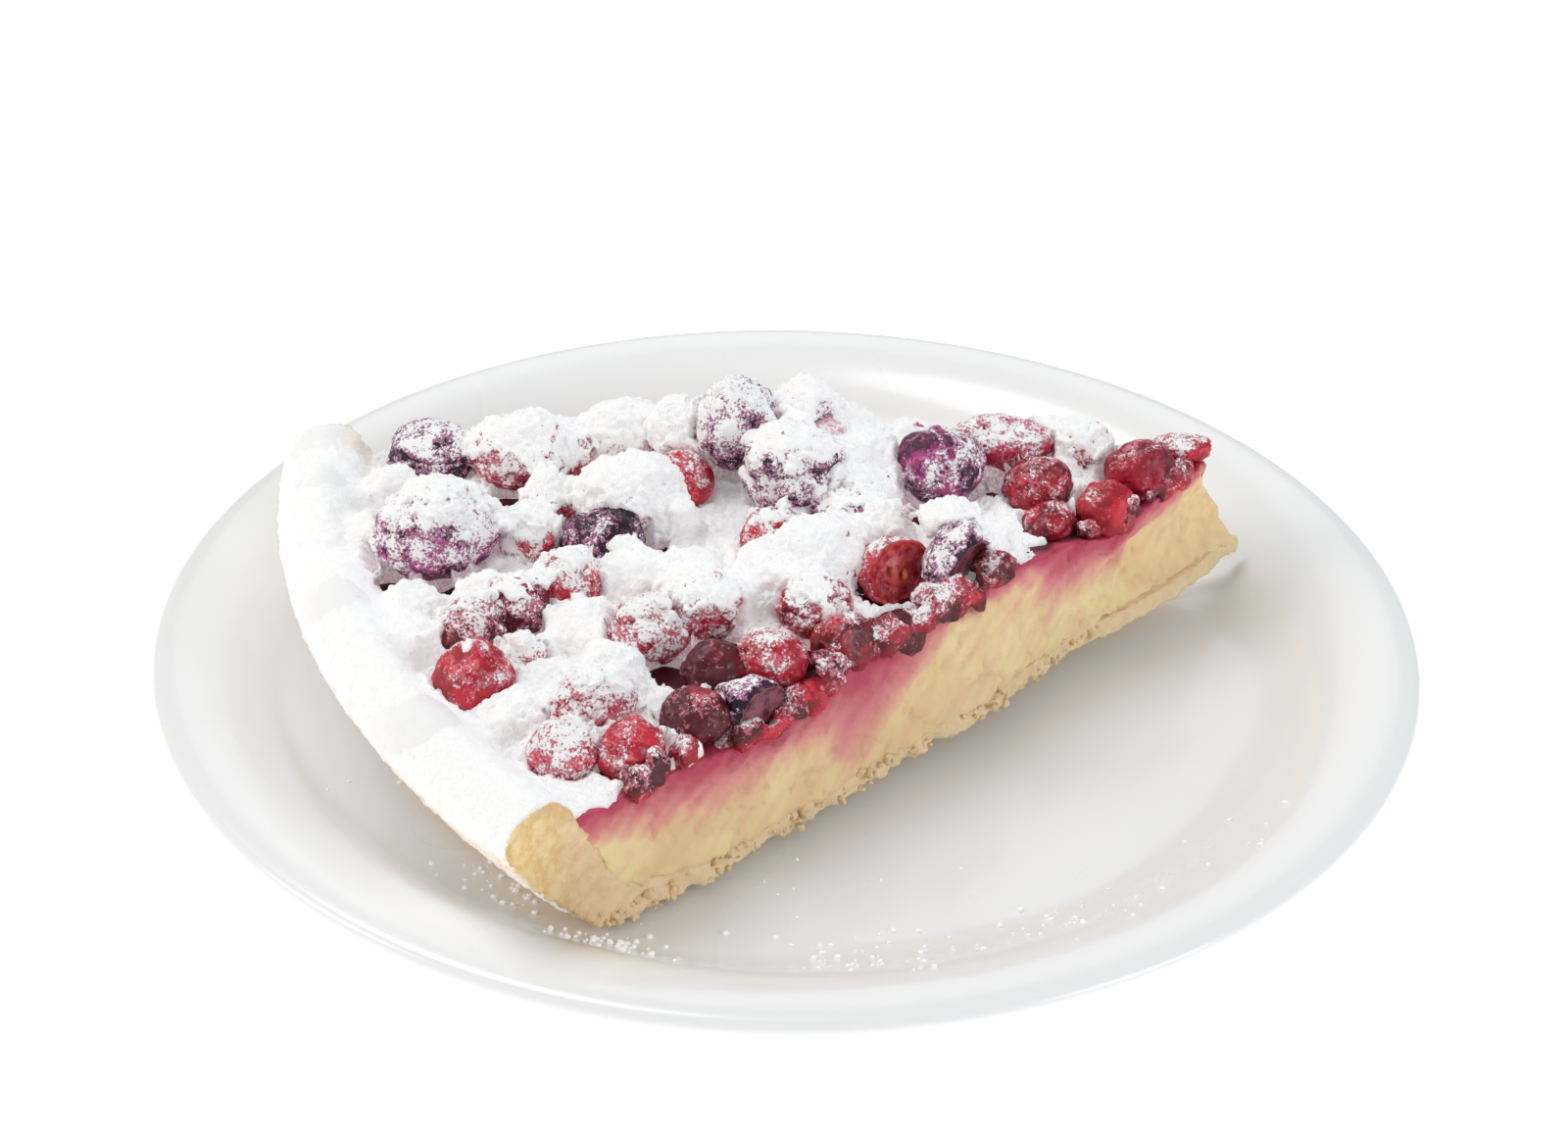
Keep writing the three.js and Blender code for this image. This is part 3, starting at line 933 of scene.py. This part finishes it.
# the flesh's rings, as shares of the cut's width and of the hollow's depth
FLESH_RINGS = ((0.94, 0.05), (0.86, 0.55), (0.7, 0.95), (0.45, 1.1), (0.2, 0.9))
FLESH = 1  # the material slot


def knife(bm, out, offset, depth):
    """Cuts a berry across and closes it with flesh that is hollow by a depth in mm."""
    out = Vector(out).normalized()
    center = sum((v.co for v in bm.verts), Vector()) / len(bm.verts)
    cut = bmesh.ops.bisect_plane(bm, geom=[*bm.verts, *bm.edges, *bm.faces], dist=1e-4,
                                 plane_co=center + out * offset, plane_no=out, clear_outer=True)
    rim = [e for e in cut["geom_cut"] if isinstance(e, bmesh.types.BMEdge)]
    middle = sum((e.verts[0].co for e in rim), Vector()) / len(rim)
    for edge in rim:
        edge.smooth = False
    old_width, old_sink = 1.0, 0.0
    for width, sink in FLESH_RINGS:
        made = bmesh.ops.extrude_edge_only(bm, edges=rim)["geom"]
        rim = [g for g in made if isinstance(g, bmesh.types.BMEdge)]
        for vert in {v for e in rim for v in e.verts}:
            flat = vert.co - middle + out * old_sink * depth
            vert.co = middle - out * sink * depth + flat * (width / old_width)
        for face in (g for g in made if isinstance(g, bmesh.types.BMFace)):
            face.material_index = FLESH
        old_width, old_sink = width, sink
    for face in bmesh.ops.holes_fill(bm, edges=rim)["faces"]:
        face.material_index = FLESH
    bmesh.ops.recalc_face_normals(bm, faces=bm.faces)


# %% Each berry's form
berries = {}
for name, kind, row, seed in every_berry():
    bm = bmesh.new()
    add_ball(bm, ball_place(*row[PLACE]), FINENESS[kind], RELIEF[kind], seed)
    if name in CUT_THROUGH:
        knife(bm, *CUT_THROUGH[name])
    press_cuts(bm, 1.1, 0.8)
    bmesh.ops.triangulate(bm, faces=[f for f in bm.faces if len(f.verts) > 4])
    berries[name] = to_object(f"fruit_{name}", bm)
print(len(berries), "berries")

# %% [markdown]
# ## The sugar blanket
#
# Icing sugar bridges from berry to berry, so it isn't a skin on each but one soft layer
# over the heap. The heap is copied into one closed mesh, which is swelled and shrunk back
# so that its creases close. Then every point is moved: outward where sugar lies and
# inward, out of sight, where the fruit is bare. The edge between the two comes out
# ragged, as it should.

# %% Heaps of sugar, and hollows without any
# along, across, height, half length, half width, half height
SUGAR_HEAPS = (
    (88, 48.5, 19.4, 5.2, 4.6, 3.2),
    (83, 36, 19.6, 5.4, 4.2, 3.2),
    (76, 37, 20.2, 4.8, 4.2, 3.2),
    (64.2, 37, 21.2, 5.4, 4.8, 3.4),
    (70.5, 42, 19.8, 4.2, 3.6, 3.2),
    (56.5, 30, 20.6, 4.4, 4.2, 3.6),
    (42, 29.4, 24.4, 4.0, 3.4, 2.3),
    (37.6, 31, 21.4, 2.4, 2.2, 3.0),
    (34.4, 28.6, 20.0, 1.7, 1.9, 4.0),
    (53.6, 11, 22.0, 5.2, 4.2, 4.0),
    (49.6, 12.6, 20.6, 4.0, 3.4, 3.4),
    (53.2, 18, 21.6, 3.6, 3.4, 3.0),
    (50.6, 24.6, 20.6, 3.6, 3.4, 2.8),
    (75.6, 3.2, 24.2, 3.8, 2.8, 3.6),
    (55.6, 3.0, 23.2, 3.6, 2.8, 3.2),
    (91.4, 5.0, 22.0, 3.6, 3.2, 3.6),
    (101.6, 40.6, 19.6, 4.4, 4.0, 2.8),
    (111.6, 42.6, 19.4, 4.0, 4.0, 2.6),
    (84.4, 57, 19.4, 3.6, 3.2, 2.8),
    (96.4, 66.4, 19.4, 4.6, 4.2, 2.6),
    (111.2, 50, 19.2, 3.8, 4.4, 2.8),
    (119, 27, 20.2, 2.6, 5.4, 2.6),
    (28.4, 2.8, 20.6, 4.6, 2.6, 3.2),
    (92, 60, 19.6, 3.6, 3.2, 2.6),
    (104.4, 22, 20.0, 3.2, 3.4, 2.8),
    (85, 31.6, 20.6, 3.2, 2.4, 2.4),
    (78.6, 22, 20.6, 3.0, 3.2, 3.2),
)
# along, across, radius
BARE_HOLLOWS = (
    (116.2, 33.6, 2.8), (108, 36.2, 3.4), (112.4, 36, 2.6), (100.8, 12.6, 3.4),
    (96, 13.4, 2.2), (92.7, 29.4, 3.2), (89.6, 32.4, 2.8), (81.6, 28, 2.8), (98, 47.4, 4.2),
    (72.8, 52, 5.4), (76.4, 55, 4), (61.1, 52, 4), (66.4, 59, 2.6), (43.3, 39, 2.6),
    (28.5, 17, 2.6), (24.4, 21, 2.6), (66, 22.6, 1.8), (57.4, 16.2, 2.2), (46.6, 19, 1.8),
    (35, 12, 2.2), (19, 11.6, 2.4), (104.6, 51.6, 1.8), (68.4, 50.4, 2.2), (91.4, 71, 1.8),
)
HEAP_CAP = 1.5  # a heap's share of thick sugar, more than any berry's
print(len(SUGAR_HEAPS), "heaps,", len(BARE_HOLLOWS), "hollows")


# %% The blanket's core
def blanket_core():
    """The heap as one closed mesh in mm: berries, a slab of custard top, and the rim."""
    bm = bmesh.new()
    for name, kind, row, seed in every_berry():
        if name not in CUT_THROUGH:
            add_ball(bm, ball_place(*row[PLACE]), 4, RELIEF[kind], seed)
    for number, row in enumerate(SUGAR_HEAPS):
        add_ball(bm, ball_place(*row), 4, dented, 100 + number, 0.25)
    press_cuts(bm, 0.8, 0.6)
    slab = turned_wedge("slab", [(14, 13), (124, 13), (124, 18), (14, 18)])
    band = turned_wedge("band", INNER_WALL[-1:] + RIM + [(117, 0)])
    for piece in (slab, band):
        bm.from_mesh(piece.data)
        bpy.data.objects.remove(piece)
    return to_object("icing_sugar", bm)


def bridge(obj, gap, size):
    """Fills creases narrower than two gaps in mm: the skin swells, joins up and shrinks back."""
    for distance in (gap, -gap):
        voxel(obj, size)
        obj.data.shade_smooth()
        set_points(obj.data, get_points(obj.data) + distance * get_normals(obj.data))


# %% Where sugar lies
FAR_OFF = 9.0  # in radii, too far from a berry to count


def thickest(points):
    """The sugar share of the berry or heap each point lies on, and how near its skin it is."""
    best = np.full(len(points), FAR_OFF)
    cap = np.ones(len(points))
    rows = [(*row[PLACE], row[CAP]) for _, _, row, _ in every_berry()]
    rows += [(*row, 0, HEAP_CAP) for row in SUGAR_HEAPS]
    for along, across, height, length, width, tall, turn, amount in rows:
        offset = points - [-along, -across, height]
        angle = math.radians(-turn)
        x = offset[:, 0] * math.cos(angle) - offset[:, 1] * math.sin(angle)
        y = offset[:, 0] * math.sin(angle) + offset[:, 1] * math.cos(angle)
        away = np.sqrt((x / length) ** 2 + (y / width) ** 2 + (offset[:, 2] / tall) ** 2)
        closer = away < best
        best = np.where(closer, away, best)
        cap = np.where(closer, amount, cap)
    return cap, best


def cover_share(points, normals):
    """Where sugar lies thick: 1 covered to 0 bare."""
    reach, near, far = depths(points)
    height = points[:, 2]
    cap, nearness = thickest(points)
    on_berry = 1 - step(1.10, 1.35, nearness)
    bar = on_berry * (1.35 - 1.7 * cap) - (1 - on_berry) * 0.3
    ragged = 0.42 * lumps(points, 3.4, 61, 3) + 0.34 * lumps(points, 1.0, 62, 2)
    cover = step(-0.04, 0.20, normals[:, 2] - bar + ragged)
    for along, across, radius in BARE_HOLLOWS:
        away = np.hypot(points[:, 0] + along, points[:, 1] + across)
        away += 0.9 * lumps(points, 1.8, 60, 2)
        cover *= np.maximum(step(0.85 * radius, 1.1 * radius, away), step(21.4, 22.8, height))
    # It stops short of the cuts and of the foot of the rim's wall.
    wall = step(119, 124, reach)
    fade = 1.4 * lumps(points, 3, 63, 2)
    short = step(1.6, 3.6, near + fade + 2.2 * step(96, 104, reach))
    edge_near = np.where(cap == HEAP_CAP, step(0.0, 0.8, near), short)
    edge_near = edge_near * (1 - wall) + step(0.0, 0.9, near + 0.3 * fade) * wall
    edge_far = step(-0.3, 1.0, far + 0.9 * fade)
    foot = step(2.0, 4.8, height + 2.0 * lumps(points, 6, 65, 2))
    side = (wall > 0.5) & (normals[:, 2] < 0.4)
    cover = np.where(side, np.maximum(cover, foot), cover) * edge_near * edge_far
    cover *= np.where(wall > 0.5, foot, step(16.5, 18, height))
    return cover, wall


# %% The blanket, laid
FINE_SKIN = 0.38  # mm
BRIDGE_GAP = 1.1  # mm
BLANKET_FACES = 95000
SINK = 2.2  # mm that bare places lie under the fruit's skin


def drop_hidden(bm):
    """Takes away the blanket's unseen underside."""
    hidden = [v for v in bm.verts if v.co.z < 15 and v.co.xy.length < 118]
    bmesh.ops.delete(bm, geom=hidden, context="VERTS")


def close_below(bm):
    bmesh.ops.holes_fill(bm, edges=[e for e in bm.edges if e.is_boundary])


def make_blanket():
    blanket = blanket_core()
    bridge(blanket, BRIDGE_GAP, SKIN_SIZE)
    voxel(blanket, FINE_SKIN, relax=2)
    mesh = blanket.data
    edit(mesh, drop_hidden)
    points = get_points(mesh)
    normals = get_normals(mesh)
    cover, wall = cover_share(points, normals)
    fluff = 0.26 * lumps(points, 3.4, 67) + 0.42 * puffs(points, 1.5, 68)
    fluff += 0.34 * lumps(points, 0.8, 69, 2)
    softness = np.where(wall > 0.5, 0.5, 1.0)
    move = cover * (0.15 + softness * fluff) - (1 - cover) * SINK
    points += normals * move[:, None]
    # Where it is bare near the cut, it must also lie under the custard's top.
    reach, near, _ = depths(points)
    ceiling = np.interp(reach, *zip(*NEAR_TOP)) - 1.6
    low = (1 - cover) * (1 - step(118, 121, reach)) * (1 - step(5, 8, near))
    low *= 1 - step(18.5, 20, points[:, 2])
    points[:, 2] -= low * np.maximum(points[:, 2] - ceiling, 0)
    set_points(mesh, points)
    note(mesh, "cover", np.maximum(cover, 0.9 * wall))
    # Bare crust shows through at the wall's edge and at the far corner.
    height = points[:, 2] + 3.0 * lumps(points, 4, 66, 2)
    edge = step(128.5, 132, reach) * (1 - step(15, 19.5, height))
    corner = 0.6 * (1 - step(2, 9, depths(points)[2] + 3 * lumps(points, 4, 64)))
    note(mesh, "crust", wall * np.maximum(edge, corner))
    lighten(blanket, min(1.0, BLANKET_FACES / len(mesh.polygons)))
    edit(blanket.data, close_below)
    on_plate(blanket)
    return blanket


blanket = make_blanket()
print("blanket", len(blanket.data.polygons), "faces")

# %% [markdown]
# Sugar is white all through and scatters light inside, so its shadows are pale. A faint
# glow of its own stands in for that, which is far quicker than subsurface. Where it is
# thin the juice comes through pink, and on the rim the crust shows.


# %% Icing sugar finish
GLOW = (1, 1, 1, 1)


def make_icing():
    material, tree, shader = new_material(
        "icing sugar", Specular_IOR_Level=0.15, Emission_Color=GLOW, Emission_Strength=0.13)
    where = own_place(tree)
    grain = noise_node(tree, where, 0.5, 3.0, 0.7)
    thin = spread(tree, noted(tree, "cover"), 0.45, 0.98, 1.0, 0.0)
    thin = times(tree, thin, spread(tree, grain, 0.4, 0.6))
    toast = times(tree, noted(tree, "crust"), spread(tree, grain, 0.35, 0.6, 0.2, 0.9))
    color = mix_color(tree, thin, SUGAR_WHITE, srgb(226, 156, 178))
    normal = bump(tree, noise_node(tree, where, 1.3, 4.0, 0.6), 0.6, 0.5)
    wire(tree, shader,
         Base_Color=mix_color(tree, toast, color, srgb(240, 214, 170)),
         Roughness=spread(tree, noise_node(tree, where, 3), 0.3, 0.7, 0.85, 1.0),
         Normal=bump(tree, grain, 0.9, 0.35, normal))
    return material


finish_piece(blanket, "icing_sugar", None, make_icing())

# %% [markdown]
# ## Fruit skins
#
# Each kind has one material, and each berry its own numbers for it: how dark it is, and
# how much sugar it has caught. Grains that have drunk juice turn pink before the dry
# ones lie white on top, so the dusting is laid twice.

# %% How frosted each berry is
# which way the patch faces, and how much sugar is missing there
RUBBED_OFF = {
    "darkberry_05": ((-0.45, -0.25, 0.86), 0.5),
    "darkberry_01": ((-0.25, -0.80, 0.55), 0.08),
    "redcurrant_01": ((0.1, -0.60, 0.80), 0.12),
}
MOST_FROST = 0.86


def frost_of(mesh, specks, seed, rubbed=None, wipe=0.55):
    """Sugar specks lie thickest on what faces up. The knife wiped most off at the cut."""
    normals = get_normals(mesh)
    points = get_points(mesh)
    _, near, _ = depths(points)
    wiped = (1 - step(0.6, 2.6, near)) * step(0.15, 0.65, normals @ NEAR_OUT)
    patchy = 0.36 * lumps(points, 2.8, seed, 2) * (specks > 0.05) - wipe * wiped
    if rubbed:
        way, missing = rubbed
        toward = normals @ np.array(way) + 0.15 * lumps(points, 2, seed + 5)
        patchy = patchy - missing * step(0.62, 0.95, toward)
    frost = specks * 0.88 - 0.10 + 0.42 * specks ** 0.5 * normals[:, 2] + patchy
    return np.clip(frost, 0.0, MOST_FROST)


# %% Skins
def make_skin(name, dark, bright, spot, pink, **constants):
    """Fruit skin: two broad shades, a third in spots, and sugar specks on top."""
    material, tree, shader = new_material(name, **constants)
    where = own_place(tree)
    shade = noted(tree, "shade")
    broad = added(tree, noise_node(tree, where, 5, 2.0), spread(tree, shade, 0.0, 1.0, -0.2, 0.2))
    spots = added(tree, noise_node(tree, where, 3.4, 3.0),
                  spread(tree, shade, 0.0, 1.0, -0.25, 0.06))
    color = mix_color(tree, spread(tree, broad, 0.38, 0.64), dark, bright)
    color = mix_color(tree, spread(tree, spots, 0.50, 0.66), color, spot)
    frost = noted(tree, "frost")
    soaked = dusted(tree, added(tree, frost, 0.17), 0.6)
    color = mix_color(tree, times(tree, soaked, 0.7), color, pink)
    mask = dusted(tree, frost)
    wet = spread(tree, noise_node(tree, where, 1.5, 2.0), 0.3, 0.7, 0.34, 0.6)
    normal = bump(tree, noise_node(tree, where, 1.1, 3.0), 0.4, 0.3)
    wire(tree, shader,
         Base_Color=mix_color(tree, mask, color, SUGAR_WHITE),
         Roughness=add(tree, "ShaderNodeMix", {0: mask, 2: wet, 3: 0.95}).outputs[0],
         Normal=bump(tree, mask, 0.7, 0.25, normal))
    return material


# %% Flesh
def make_flesh(name, pale, deep):
    """The cut inside of a fruit: wet, in two shades of pulp."""
    material, tree, shader = new_material(name, Coat_Weight=0.3, Coat_Roughness=0.2,
                                          Subsurface_Weight=0.1, Subsurface_Scale=0.001)
    pulp = noise_node(tree, own_place(tree), 1.6, 4.0, 0.6)
    wire(tree, shader,
         Base_Color=mix_color(tree, spread(tree, pulp, 0.38, 0.62), deep, pale),
         Roughness=spread(tree, pulp, 0.3, 0.7, 0.25, 0.45),
         Normal=bump(tree, pulp, 0.7, 0.6))
    return material


# %% Each kind's colours
skins = {
    "darkberry": make_skin(
        "dark berry skin",
        srgb(38, 16, 34), srgb(68, 28, 56), srgb(164, 52, 118), srgb(208, 128, 176),
        Specular_IOR_Level=0.4),
    "raspberry": make_skin(
        "raspberry skin",
        srgb(112, 10, 34), srgb(170, 22, 50), srgb(202, 52, 80), srgb(226, 128, 150),
        Subsurface_Weight=0.15, Subsurface_Scale=0.001),
    "redcurrant": make_skin(
        "redcurrant skin",
        srgb(84, 6, 22), srgb(166, 14, 38), srgb(208, 34, 60), srgb(226, 118, 138),
        Subsurface_Weight=0.2, Subsurface_Scale=0.0012, Coat_Weight=0.1),
}
fleshes = {
    "darkberry": make_flesh("dark berry flesh", srgb(146, 72, 86), srgb(78, 30, 46)),
    "redcurrant": make_flesh("redcurrant flesh", srgb(224, 92, 92), srgb(170, 20, 44)),
}

# %% Finish the berries
for name, kind, row, _ in every_berry():
    obj = berries[name]
    number = int(name[-2:])
    note(obj.data, "frost", frost_of(obj.data, row[SPECKS], number, RUBBED_OFF.get(name)))
    note(obj.data, "shade", np.full(len(obj.data.vertices), row[SHADE]))
    on_plate(obj)
    inside = [fleshes[kind]] if name in CUT_THROUGH else []
    finish_piece(obj, kind, [name], skins[kind], *inside)

# %% [markdown]
# The opened currant shows two seeds in its flesh. They are small dented balls, set in the
# plane of the cut.


# %% Seeds in the opened currant
SEED_SIZE = (0.85, 0.5, 0.45)  # half sizes in mm
SEED_SPOTS = ((-0.8, 0.5), (0.9, -0.4))  # mm sideways and up from the cut's middle
OPENED = "redcurrant_13"


def make_seeds():
    along, across, height = next(row[:3] for name, _, row, _ in every_berry() if name == OPENED)
    out = Vector(CUT_THROUGH[OPENED][0]).normalized()
    upward = out.orthogonal().normalized()
    rng = random.Random(13)
    bm = bmesh.new()
    for number, (side, up) in enumerate(SEED_SPOTS):
        spot = (Vector((-along, -across, height)) + out * 1.0 + upward * up
                + out.cross(upward) * side)
        place = (Matrix.Translation(spot) @ Matrix.Rotation(rng.uniform(0, math.tau), 4, out)
                 @ Matrix.Diagonal((*SEED_SIZE, 1)))
        add_ball(bm, place, 4, dented, number, 0.15)
    seeds = to_object("currant_seeds", bm)
    on_plate(seeds)
    return seeds


def make_seed_finish():
    material, tree, shader = new_material("currant seed", Coat_Weight=0.3, Roughness=0.4)
    where = own_place(tree)
    tint = noise_node(tree, where, 0.8, 3.0)
    wire(tree, shader,
         Base_Color=mix_color(tree, tint, srgb(186, 76, 56), srgb(222, 138, 92)),
         Normal=bump(tree, noise_node(tree, where, 0.4, 3.0), 0.4, 0.1))
    return material


finish_piece(make_seeds(), "redcurrant", None, make_seed_finish())

# %% [markdown]
# ## Crushed fruit along the cut
#
# Where the knife went, berries burst. Small bits of skin and pulp fill the gaps between
# the whole ones, right down to the custard. One mesh holds them all.


# %% Crushed fruit
# from, to, in mm along the near cut, count
CRUSHED_SPANS = ((13, 32, 14), (45, 60, 13), (56, 90, 44), (84, 115, 24))


def make_crushed():
    rng = random.Random(5)
    bm = bmesh.new()
    number = 0
    for start, end, count in CRUSHED_SPANS:
        for _ in range(count):
            number += 1
            reach = rng.uniform(start, end)
            inward = abs(rng.gauss(0, 2.2))
            height = np.interp(reach, *zip(*NEAR_TOP)) + rng.uniform(-0.3, 2.4)
            size = rng.uniform(1.0, 2.6)
            place = tumbled(rng, on_near_cut(reach, 0.2 - inward), height, size)
            add_ball(bm, place, 4, dented, number, 0.35)
    points = np.array([v.co for v in bm.verts])
    for vert, point in zip(bm.verts, press(points, NEAR_OUT, 0.9)):
        vert.co = point
    crushed = voxel(to_object("crushed_fruit", bm), FINE_SKIN, relax=2)
    mesh = crushed.data
    points = get_points(mesh)
    points += get_normals(mesh) * (0.3 * lumps(points, 1.3, 73, 2))[:, None]
    set_points(mesh, points)
    frost = frost_of(mesh, 0.38, 3, wipe=0.12) + 0.16 * lumps(points, 5, 71)
    note(mesh, "frost", np.clip(frost, 0, 0.9))
    note(mesh, "shade", np.clip(0.45 + 0.8 * lumps(points, 6, 72), 0.15, 0.9))
    on_plate(crushed)
    return crushed


finish_piece(make_crushed(), "redcurrant", None, skins["redcurrant"])

# %% [markdown]
# ## Crumbs and stray sugar
#
# Short pastry sheds crumbs along the knife line, and sugar that missed the tart lies on
# the glaze. Both are small solid bits with few faces, since there are so many of them.


# %% Crumbs
CRUMB_COUNT = 170
CRUMB_SIZES = (0.25, 0.3, 0.4, 0.5, 0.75)  # mm


def make_crumbs():
    rng = random.Random(7)
    bm = bmesh.new()
    for number in range(CRUMB_COUNT):
        reach = rng.uniform(30, 120)
        size = rng.choice(CRUMB_SIZES)
        out = rng.uniform(0.0, 1.0) + 1.7 * float(bowed(reach)) - 0.4
        height = rng.uniform(0.2, 2.9)
        place = tumbled(rng, on_near_cut(reach, out), height, size)
        add_ball(bm, place, 3, dented, number, 0.4)
    crumbs = to_object("loose_crumbs", bm)
    note(crumbs.data, "frost", np.zeros(len(crumbs.data.vertices)))
    note(crumbs.data, "baked", np.clip(0.3 + lumps(get_points(crumbs.data), 5, 81), 0, 1))
    note(crumbs.data, "pale", np.full(len(crumbs.data.vertices), 0.8))
    on_plate(crumbs)
    return crumbs


finish_piece(make_crumbs(), "shortcrust", None, baked)


# %% Where it fell
# the section's points from the plate's middle to its rim's crest
PLATE_TOP = plate_section()[:1 + HOLLOW_POINTS + SHOULDER_POINTS]
GRAIN_SIZES = (0.14, 0.18, 0.24, 0.3, 0.4)  # mm
# x, y in mm on the plate, spread in mm, count
SUGAR_FALLS = (
    (-37, -46, 3, 26), (-32, -52, 3, 34), (-23, -62, 3, 30), (-19, -63, 3, 20),
    (16, -64, 7, 34), (34, -58, 6, 34), (50, -48, 5, 14), (8, -65, 5, 16), (-44, -26, 8, 12),
    (0, -50, 12, 14), (60, -38, 8, 8),
)


# %% Stray sugar
def make_stray_sugar():
    rng = random.Random(9)
    bm = bmesh.new()
    number = 0
    for x, y, reach, count in SUGAR_FALLS:
        for _ in range(count):
            number += 1
            spot_x, spot_y = rng.gauss(x, reach), rng.gauss(y, reach * 0.6)
            radius = math.hypot(spot_x, spot_y)
            if radius > 80:
                continue
            size = rng.choice(GRAIN_SIZES)
            height = float(np.interp(radius, *zip(*PLATE_TOP))) + size * 0.4
            place = (Matrix.Translation((spot_x, spot_y, height))
                     @ Matrix.Diagonal((size, size * rng.uniform(0.6, 1), size * 0.7, 1)))
            add_ball(bm, place, 2, dented, number, 0.3)
    stray = to_object("stray_sugar", bm)
    stray.data.transform(Matrix.Scale(MM, 4))
    return stray


# %% Loose grains
def make_loose_grains():
    # Their glow is painted light: it lifts the grains' shade, as light scattered inside sugar
    # would.
    material, tree, shader = new_material(
        "loose sugar grains", Specular_IOR_Level=0.2, Roughness=0.9,
        Emission_Color=GLOW, Emission_Strength=0.15)
    where = own_place(tree)
    tint = noise_node(tree, where, 0.8, 2.0)
    wire(tree, shader,
         Base_Color=mix_color(tree, tint, srgb(244, 243, 243), SUGAR_WHITE),
         Normal=bump(tree, noise_node(tree, where, 0.3, 2.0), 0.3, 0.1))
    return material


finish_piece(make_stray_sugar(), "icing_sugar", None, make_loose_grains())

# %% [markdown]
# ## Floor, light and camera
#
# The photograph is a cut-out on pure white, lit softly from behind on the left. A white
# floor, a bright sky and four soft round lamps give the same even shade, with the darkest
# part to the right of the slice. One of the lamps is warm, as a wall that throws light
# back would be.


# %% The floor
FLOOR_DROP = 0.0001  # under the plate's foot


def make_floor():
    bm = bmesh.new()
    bmesh.ops.create_grid(bm, x_segments=1, y_segments=1, size=3)
    floor = to_object("floor", bm, smooth=False)
    floor.data.transform(Matrix.Translation((0, 0, -FLOOR_DROP)))
    material, _, _ = new_material("pale floor", Base_Color=(0.6, 0.6, 0.6, 1), Roughness=0.9,
                                  Emission_Color=GLOW, Emission_Strength=0.85)
    floor.data.materials.append(material)


make_floor()

# %% The light
AIM = Vector((0, 0, 0.02))
# name, place, width in metres, power, colour
LAMPS = (
    ("softbox", (-0.40, 0.36, 1.20), 0.7, 6.3, (0.92, 0.98, 1.0)),
    ("window", (0.0, 1.15, 0.68), 0.6, 0.9, (1, 1, 1)),
    ("fill", (0.9, -0.55, 0.5), 0.6, 4.2, (0.92, 0.95, 1.0)),
    ("warm wall", (-1.0, -0.2, 0.55), 0.6, 3.4, (1.0, 0.88, 0.78)),
)
SKY_COLOR, SKY_STRENGTH = (0.96, 0.98, 0.98, 1), 0.40


def lamp(name, place, size, power, color):
    light = bpy.data.lights.new(name, "AREA")
    light.shape = "DISK"
    light.size = size
    light.energy = power
    light.color = color
    obj = bpy.data.objects.new(name, light)
    obj.location = place
    obj.rotation_euler = (AIM - Vector(place)).to_track_quat("-Z", "Y").to_euler()
    bpy.context.collection.objects.link(obj)


for row in LAMPS:
    lamp(*row)
world = bpy.data.worlds.new("studio")
world.use_nodes = True
sky = world.node_tree.nodes["Background"]
sky.inputs["Color"].default_value = SKY_COLOR
sky.inputs["Strength"].default_value = SKY_STRENGTH
bpy.context.scene.world = world
bpy.context.scene.view_settings.view_transform = "Standard"
print(len(LAMPS), "lamps")

# %% [markdown]
# The camera was found from the plate: the shape of its rim in the picture gives how far
# the camera looks down and how far away it stands. The focal length is in the
# photograph's own pixels.

# %% The camera
PHOTO_WIDTH = 1600
FOCAL_PIXELS = 3400
CAMERA_PLACE = (0, -0.3789, 0.2599)
PITCH, YAW, ROLL = 31.98, -0.08, -0.93  # degrees
camera_data = bpy.data.cameras.new("photo")
camera_data.sensor_width = 36
camera_data.lens = FOCAL_PIXELS / PHOTO_WIDTH * camera_data.sensor_width
camera_data.clip_start = 0.01
camera = bpy.data.objects.new("photo", camera_data)
pitch, yaw, roll = (math.radians(a) for a in (PITCH, YAW, ROLL))
camera.matrix_world = (
    Matrix.Translation(CAMERA_PLACE)
    @ Matrix.Rotation(-yaw, 4, "Z")
    @ Matrix.Rotation(math.radians(90) - pitch, 4, "X")
    @ Matrix.Rotation(-roll, 4, "Z")
)
bpy.context.collection.objects.link(camera)
bpy.context.scene.camera = camera
print("lens", round(camera_data.lens, 1), "mm")
